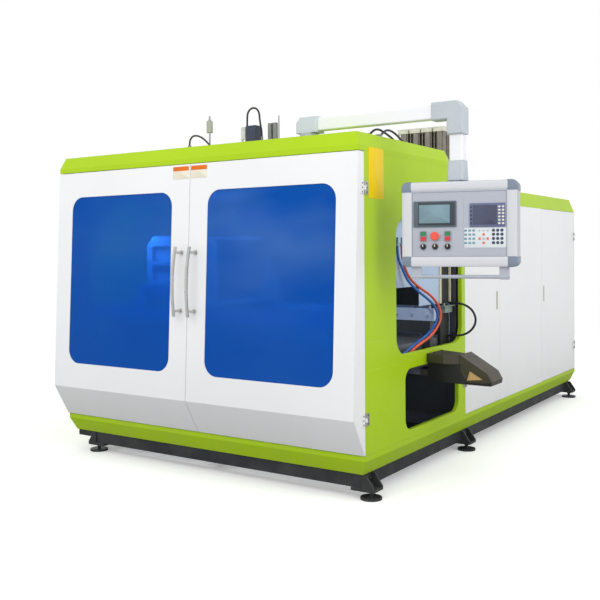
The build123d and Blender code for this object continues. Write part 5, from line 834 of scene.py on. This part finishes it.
def make_keypad():
    """The keypad overlay with its small domed keys."""
    overlay = finish("keypad_overlay", (214, 220, 224), 0.45, tone=0.04, tone_scale=14.0, grain=0.12)
    mesh = bmesh.new()
    outline, place = on_box_rect(*OVERLAY, OVERLAY_DEPTH, OVERLAY_R)
    add_prism(mesh, outline, place, OVERLAY_T, OVERLAY_LIP)
    make_piece("keypad_overlay", mesh, overlay, "control_box")
    teal = finish("teal_key", (112, 152, 166), 0.4, tone=0.1, tone_scale=60.0, grain=0.1)
    pale = finish("pale_key", (176, 182, 190), 0.4, tone=0.1, tone_scale=60.0, grain=0.1)
    orange = finish("orange_key", (232, 104, 44), 0.38, tone=0.1, tone_scale=60.0, grain=0.1)
    dark = finish("dark_key", (58, 68, 96), 0.38, tone=0.1, tone_scale=60.0, grain=0.1)
    teal_keys = [(u, v, *TEAL_KEY) for u in TEAL_COLUMNS for v in OVERLAY_ROWS]
    pale_keys = [(*spot, *PALE_KEY) for spot in PALE_PLACES] + [(*MIDDLE_PLACE, *MIDDLE_KEY)]
    arrow_keys = [(*spot, *ARROW_KEY) for spot in ARROW_PLACES]
    number_keys = [(u, v, *NUMBER_KEY) for u in NUMBER_COLUMNS for v in OVERLAY_ROWS]
    for name, skin, corner_share, keys in (
        ("teal_keys", teal, ROUNDED_CORNERS, teal_keys),
        ("pale_keys", pale, ROUNDED_CORNERS, pale_keys),
        ("arrow_keys", orange, ROUNDED_CORNERS, arrow_keys),
        ("number_keys", dark, NEARLY_ROUND, number_keys),
    ):
        mesh = bmesh.new()
        for u, v, wide, high in keys:
            outline = rounded(wide / 1000, high / 1000, min(wide, high) / 2000 * corner_share)
            add_prism(mesh, outline, on_box(u, v, OVERLAY_DEPTH - OVERLAY_T), KEY_T, KEY_LIP)
        make_piece(name, mesh, skin, "control_box")


BEZEL_RIM = (0.040, 0.062, 0.006)
BEZEL_HOLE = (0.0315, 0.0545, 0.003)
BEZEL_RIM_H = 0.0016
BEZEL_HOLE_H = 0.0022
DIAL_PROFILE = ((0.0165, 0.0), (0.0195, 0.0), (0.0195, 0.001), (0.018, 0.0018), (0.0165, 0.001))
STOP_PROFILE = ((0.0095, 0.0), (0.03, 0.0), (0.03, 0.0006), (0.0285, 0.0011), (0.0095, 0.0011))
STOP_SIDES = 32
KNOB_H = 0.0153
MARK = (0.005, 0.014, 0.002)
MARK_RISE = 6
MARK_T = 0.0009
MARK_LIP = 0.0004


def make_operators():
    """Bezels of the push buttons, the selectors' dials and marks, and the ring under the emergency stop."""
    mesh = bmesh.new()
    rim = rounded(*BEZEL_RIM)
    hole = rounded(*BEZEL_HOLE)
    for u in (LEFT_PUSH_U, RIGHT_PUSH_U):
        place = on_box(u, PUSH_V, SURROUND_DEPTH)
        profile = ((rim, 0.0), (rim, BEZEL_RIM_H), (hole, BEZEL_HOLE_H), (hole, 0.0))
        join_levels(mesh, [add_level(mesh, place, outline, height) for outline, height in profile])
    for u in (LEFT_PUSH_U, STOP_U, RIGHT_PUSH_U):
        add_ring(mesh, on_box(u, SELECTOR_V, SURROUND_DEPTH), DIAL_PROFILE)
    bezel_skin = finish("bezel_grey", (150, 154, 160), 0.4, tone=0.08, grain=0.1)
    make_piece("operator_bezels", mesh, bezel_skin, "control_box")
    mesh = bmesh.new()
    add_ring(mesh, on_box(STOP_U, STOP_V, SURROUND_DEPTH), STOP_PROFILE, STOP_SIDES)
    make_piece("stop_ring", mesh, BOX_PAINT, "control_box")
    for side, u in (("left", LEFT_PUSH_U), ("middle", STOP_U), ("right", RIGHT_PUSH_U)):
        mesh = bmesh.new()
        place = on_box(u, SELECTOR_V - MARK_RISE, SURROUND_DEPTH - KNOB_H)
        add_prism(mesh, rounded(*MARK), place, MARK_T, MARK_LIP)
        make_piece("selector_mark_" + side, mesh, CREAM, "selector_" + side)


make_corner_caps()
make_frame_sections()
make_screens()
make_keypad()
make_operators()


# ---------------------------------------------------------------- fasteners and chute plates
HINGE_HEIGHTS = (0.495, 1.868)
HINGE_LEAF_T = 0.004
HINGE_LEAF_MIDDLE = 0.0255
HINGE_SCREW_PITCH = 0.026
DOOR_SEAM_Y = FRONT_Y - 0.001
FEET_INSET = 0.066
FRONT_FEET_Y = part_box("levelling_feet")[0].y + FEET_INSET
MIDDLE_FEET_Y = FRONT_Y + 1.575
REAR_FEET_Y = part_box("levelling_feet")[1].y - FEET_INSET
BRACKET_X = 1.142
BRACKET_BOLT_Z = 0.118
BRACKET_BOLT_SHIFT = 0.032
CHUTE_BRACKET_T = 0.004
CHUTE_SCREW_ROW = (0.880, 0.968, 1.056)
CHUTE_SCREW_Z = 0.768
# Radius, or width across flats, and height
HINGE_SCREW = (0.0048, 0.0018)
BRACKET_BOLT = (0.019, 0.010)
CHUTE_SCREW = (0.008, 0.006)

# Chute plates: outlines in millimetres out from the side plane and up from the floor
CHUTE_PLATE_Y = FRONT_Y + 0.850
CHUTE_PLATE_T = 0.0015
CHUTE_PLATE_LIP = 0.0004
# The side and edge plates are painted shade: near-black sheets where the chute and the opening behind it
# lie in shadow
CHUTE_SIDE = ((5, 744), (5, 640), (100, 612), (277, 612), (277, 637), (240, 700), (240, 744))
CHUTE_EDGE = ((278, 612), (450, 612), (456, 636), (396, 628), (278, 628))
CHUTE_FLAP = ((301, 704), (395, 650), (282, 638))
FLAP_SETBACK = 0.007


def make_hinge_screws():
    """Three round-headed screws on each hinge leaf."""
    for side, side_x, door in ((1, SIDE_X, "right_door"), (-1, LEFT_X, "left_door")):
        for body, toward in (("frame", 1), (door, -1)):
            mesh = bmesh.new()
            leaf_x = side_x + side * HINGE_LEAF_T
            leaf_y = DOOR_SEAM_Y + toward * HINGE_LEAF_MIDDLE
            for hinge_z in HINGE_HEIGHTS:
                for lift in (-HINGE_SCREW_PITCH, 0.0, HINGE_SCREW_PITCH):
                    place = facing((leaf_x, leaf_y, hinge_z + lift), (0, side, 0), (side, 0, 0))
                    add_cap_screw(mesh, place, *HINGE_SCREW)
            make_piece(f"hinge_screws_{door}_{body}", mesh, BLACK, body)


def make_base_bolts():
    """Bolts on the foot brackets and screws on the chute's bracket."""
    mesh = bmesh.new()
    for side in (-1, 1):
        for feet_y in (FRONT_FEET_Y, MIDDLE_FEET_Y, REAR_FEET_Y):
            for shift in (-BRACKET_BOLT_SHIFT, BRACKET_BOLT_SHIFT):
                origin = (side * BRACKET_X, feet_y + shift, BRACKET_BOLT_Z)
                add_nut(mesh, facing(origin, (0, side, 0), (side, 0, 0)), *BRACKET_BOLT)
    make_piece("bracket_bolts", mesh, BASE, "frame")
    mesh = bmesh.new()
    for y in CHUTE_SCREW_ROW:
        origin = (SIDE_X + CHUTE_BRACKET_T, FRONT_Y + y, CHUTE_SCREW_Z)
        add_cap_screw(mesh, facing(origin, (0, 1, 0), (1, 0, 0)), *CHUTE_SCREW)
    make_piece("chute_screws", mesh, ZINC, "frame")


def make_chute_plates():
    """The dark side plate under the chute's bracket and its lower edge, which are painted shade over the
    shadowed chute and the opening behind them, and the pale flap inside the hood.
    """
    # Painted shade: near black, for the shadow over the chute and the opening behind it
    dark = finish("chute_painted_shade", (38, 38, 39), 0.5, tone=0.15, tone_scale=8.0, grain=0.2, specular=0.3)
    tan = finish("flap_tan", (205, 166, 116), 0.5, tone=0.1, tone_scale=9.0, grain=0.15)
    for name, skin, slot, back, corners in (
        ("chute_side", dark, "tray_steel", 0.0, CHUTE_SIDE),
        ("chute_edge", dark, "tray_steel", 0.0, CHUTE_EDGE),
        ("chute_flap", tan, "rack_grey", FLAP_SETBACK, CHUTE_FLAP),
    ):
        mesh = bmesh.new()
        outline = [Vector((x / 1000, z / 1000)) for x, z in corners]
        place = facing((SIDE_X, CHUTE_PLATE_Y + back, 0), (1, 0, 0), (0, -1, 0))
        add_prism(mesh, outline, place, CHUTE_PLATE_T, CHUTE_PLATE_LIP)
        make_piece(name, mesh, skin, "frame")


make_hinge_screws()
make_base_bolts()
make_chute_plates()


# ---------------------------------------------------------------- floor, world and lamps
FLOOR_HALF = 40
FLOOR_LIT = (168, 168, 168)
FLOOR_SEEN = (247, 247, 247)
FLOOR_GLOW = 0.28
FLOOR_FADE = (3.2, 9.0)
FILL = 0.8
MIRRORED_SHARE = 0.75
PURE_WHITE = (1, 1, 1, 1)


def make_floor():
    """A plain pale floor that fades into the white behind it and keeps the machine's shadow."""
    mesh = bmesh.new()
    bmesh.ops.create_grid(mesh, x_segments=2, y_segments=2, size=FLOOR_HALF)
    data = bpy.data.meshes.new("floor")
    mesh.to_mesh(data)
    mesh.free()
    floor = bpy.data.objects.new("floor", data)
    bpy.context.collection.objects.link(floor)
    material, tree, output = new_material("floor_pale")
    rays = add(tree, "ShaderNodeLightPath")
    place = add(tree, "ShaderNodeTexCoord").outputs["Object"]
    seen = rays.outputs["Is Camera Ray"]
    colour = mixed(tree, seen, srgb(*FLOOR_LIT), srgb(*FLOOR_SEEN))
    lit = add(tree, "ShaderNodeBsdfDiffuse", {"Color": colour})
    lift = maths(tree, "MULTIPLY", seen, FLOOR_GLOW)
    glow = add(tree, "ShaderNodeEmission", {"Color": PURE_WHITE, "Strength": lift})
    shader = add(tree, "ShaderNodeAddShader", {0: lit.outputs[0], 1: glow.outputs[0]})
    clear = add(tree, "ShaderNodeEmission", {"Color": PURE_WHITE, "Strength": 1.0})
    distance = add(tree, "ShaderNodeVectorMath", {0: place}, operation="LENGTH").outputs["Value"]
    far = spread(tree, distance, *FLOOR_FADE)
    both = add(tree, "ShaderNodeMixShader", {0: far, 1: shader.outputs[0], 2: clear.outputs[0]})
    tree.links.new(both.outputs[0], output.inputs[0])
    data.materials.append(material)


def make_world():
    """White to the camera and through glass, nearly white in reflections, and a fill light elsewhere."""
    world = bpy.data.worlds.new("studio")
    bpy.context.scene.world = world
    world.use_nodes = True
    tree = world.node_tree
    tree.nodes.clear()
    output = add(tree, "ShaderNodeOutputWorld")
    rays = add(tree, "ShaderNodeLightPath")
    seen = maths(tree, "MAXIMUM", rays.outputs["Is Camera Ray"], rays.outputs["Is Transmission Ray"])
    mirrored = maths(tree, "MULTIPLY", rays.outputs["Is Glossy Ray"], MIRRORED_SHARE)
    white = maths(tree, "MAXIMUM", seen, mirrored)
    strength = spread(tree, white, 0.0, 1.0, FILL, 1.0)
    light = add(tree, "ShaderNodeBackground", {"Color": PURE_WHITE, "Strength": strength})
    tree.links.new(light.outputs[0], output.inputs[0])


def make_lamp(name, place, target, size, power):
    """A soft area lamp aimed at a point, and kept out of reflections."""
    data = bpy.data.lights.new(name, "AREA")
    data.shape = "DISK"
    data.size = size
    data.energy = power
    lamp = bpy.data.objects.new(name, data)
    bpy.context.collection.objects.link(lamp)
    lamp.visible_glossy = False
    lamp.location = place
    lamp.rotation_mode = "QUATERNION"
    lamp.rotation_quaternion = (Vector(target) - Vector(place)).to_track_quat("-Z", "Y")


make_floor()
make_world()
make_lamp("key", place=(0.5, -10.0, 5.5), target=(0.0, -1.5, 1.1), size=8.0, power=270.0)
make_lamp("side", place=(9.5, -3.0, 4.8), target=(1.0, 0.0, 1.0), size=8.0, power=290.0)
make_lamp("bay_left", place=(-0.85, -2.08, 1.75), target=(-0.45, -1.2, 1.3), size=0.25, power=12.0)
make_lamp("bay_right", place=(0.45, -2.0, 1.95), target=(0.45, -1.2, 1.1), size=0.25, power=11.0)

bpy.context.scene.view_settings.view_transform = "Standard"
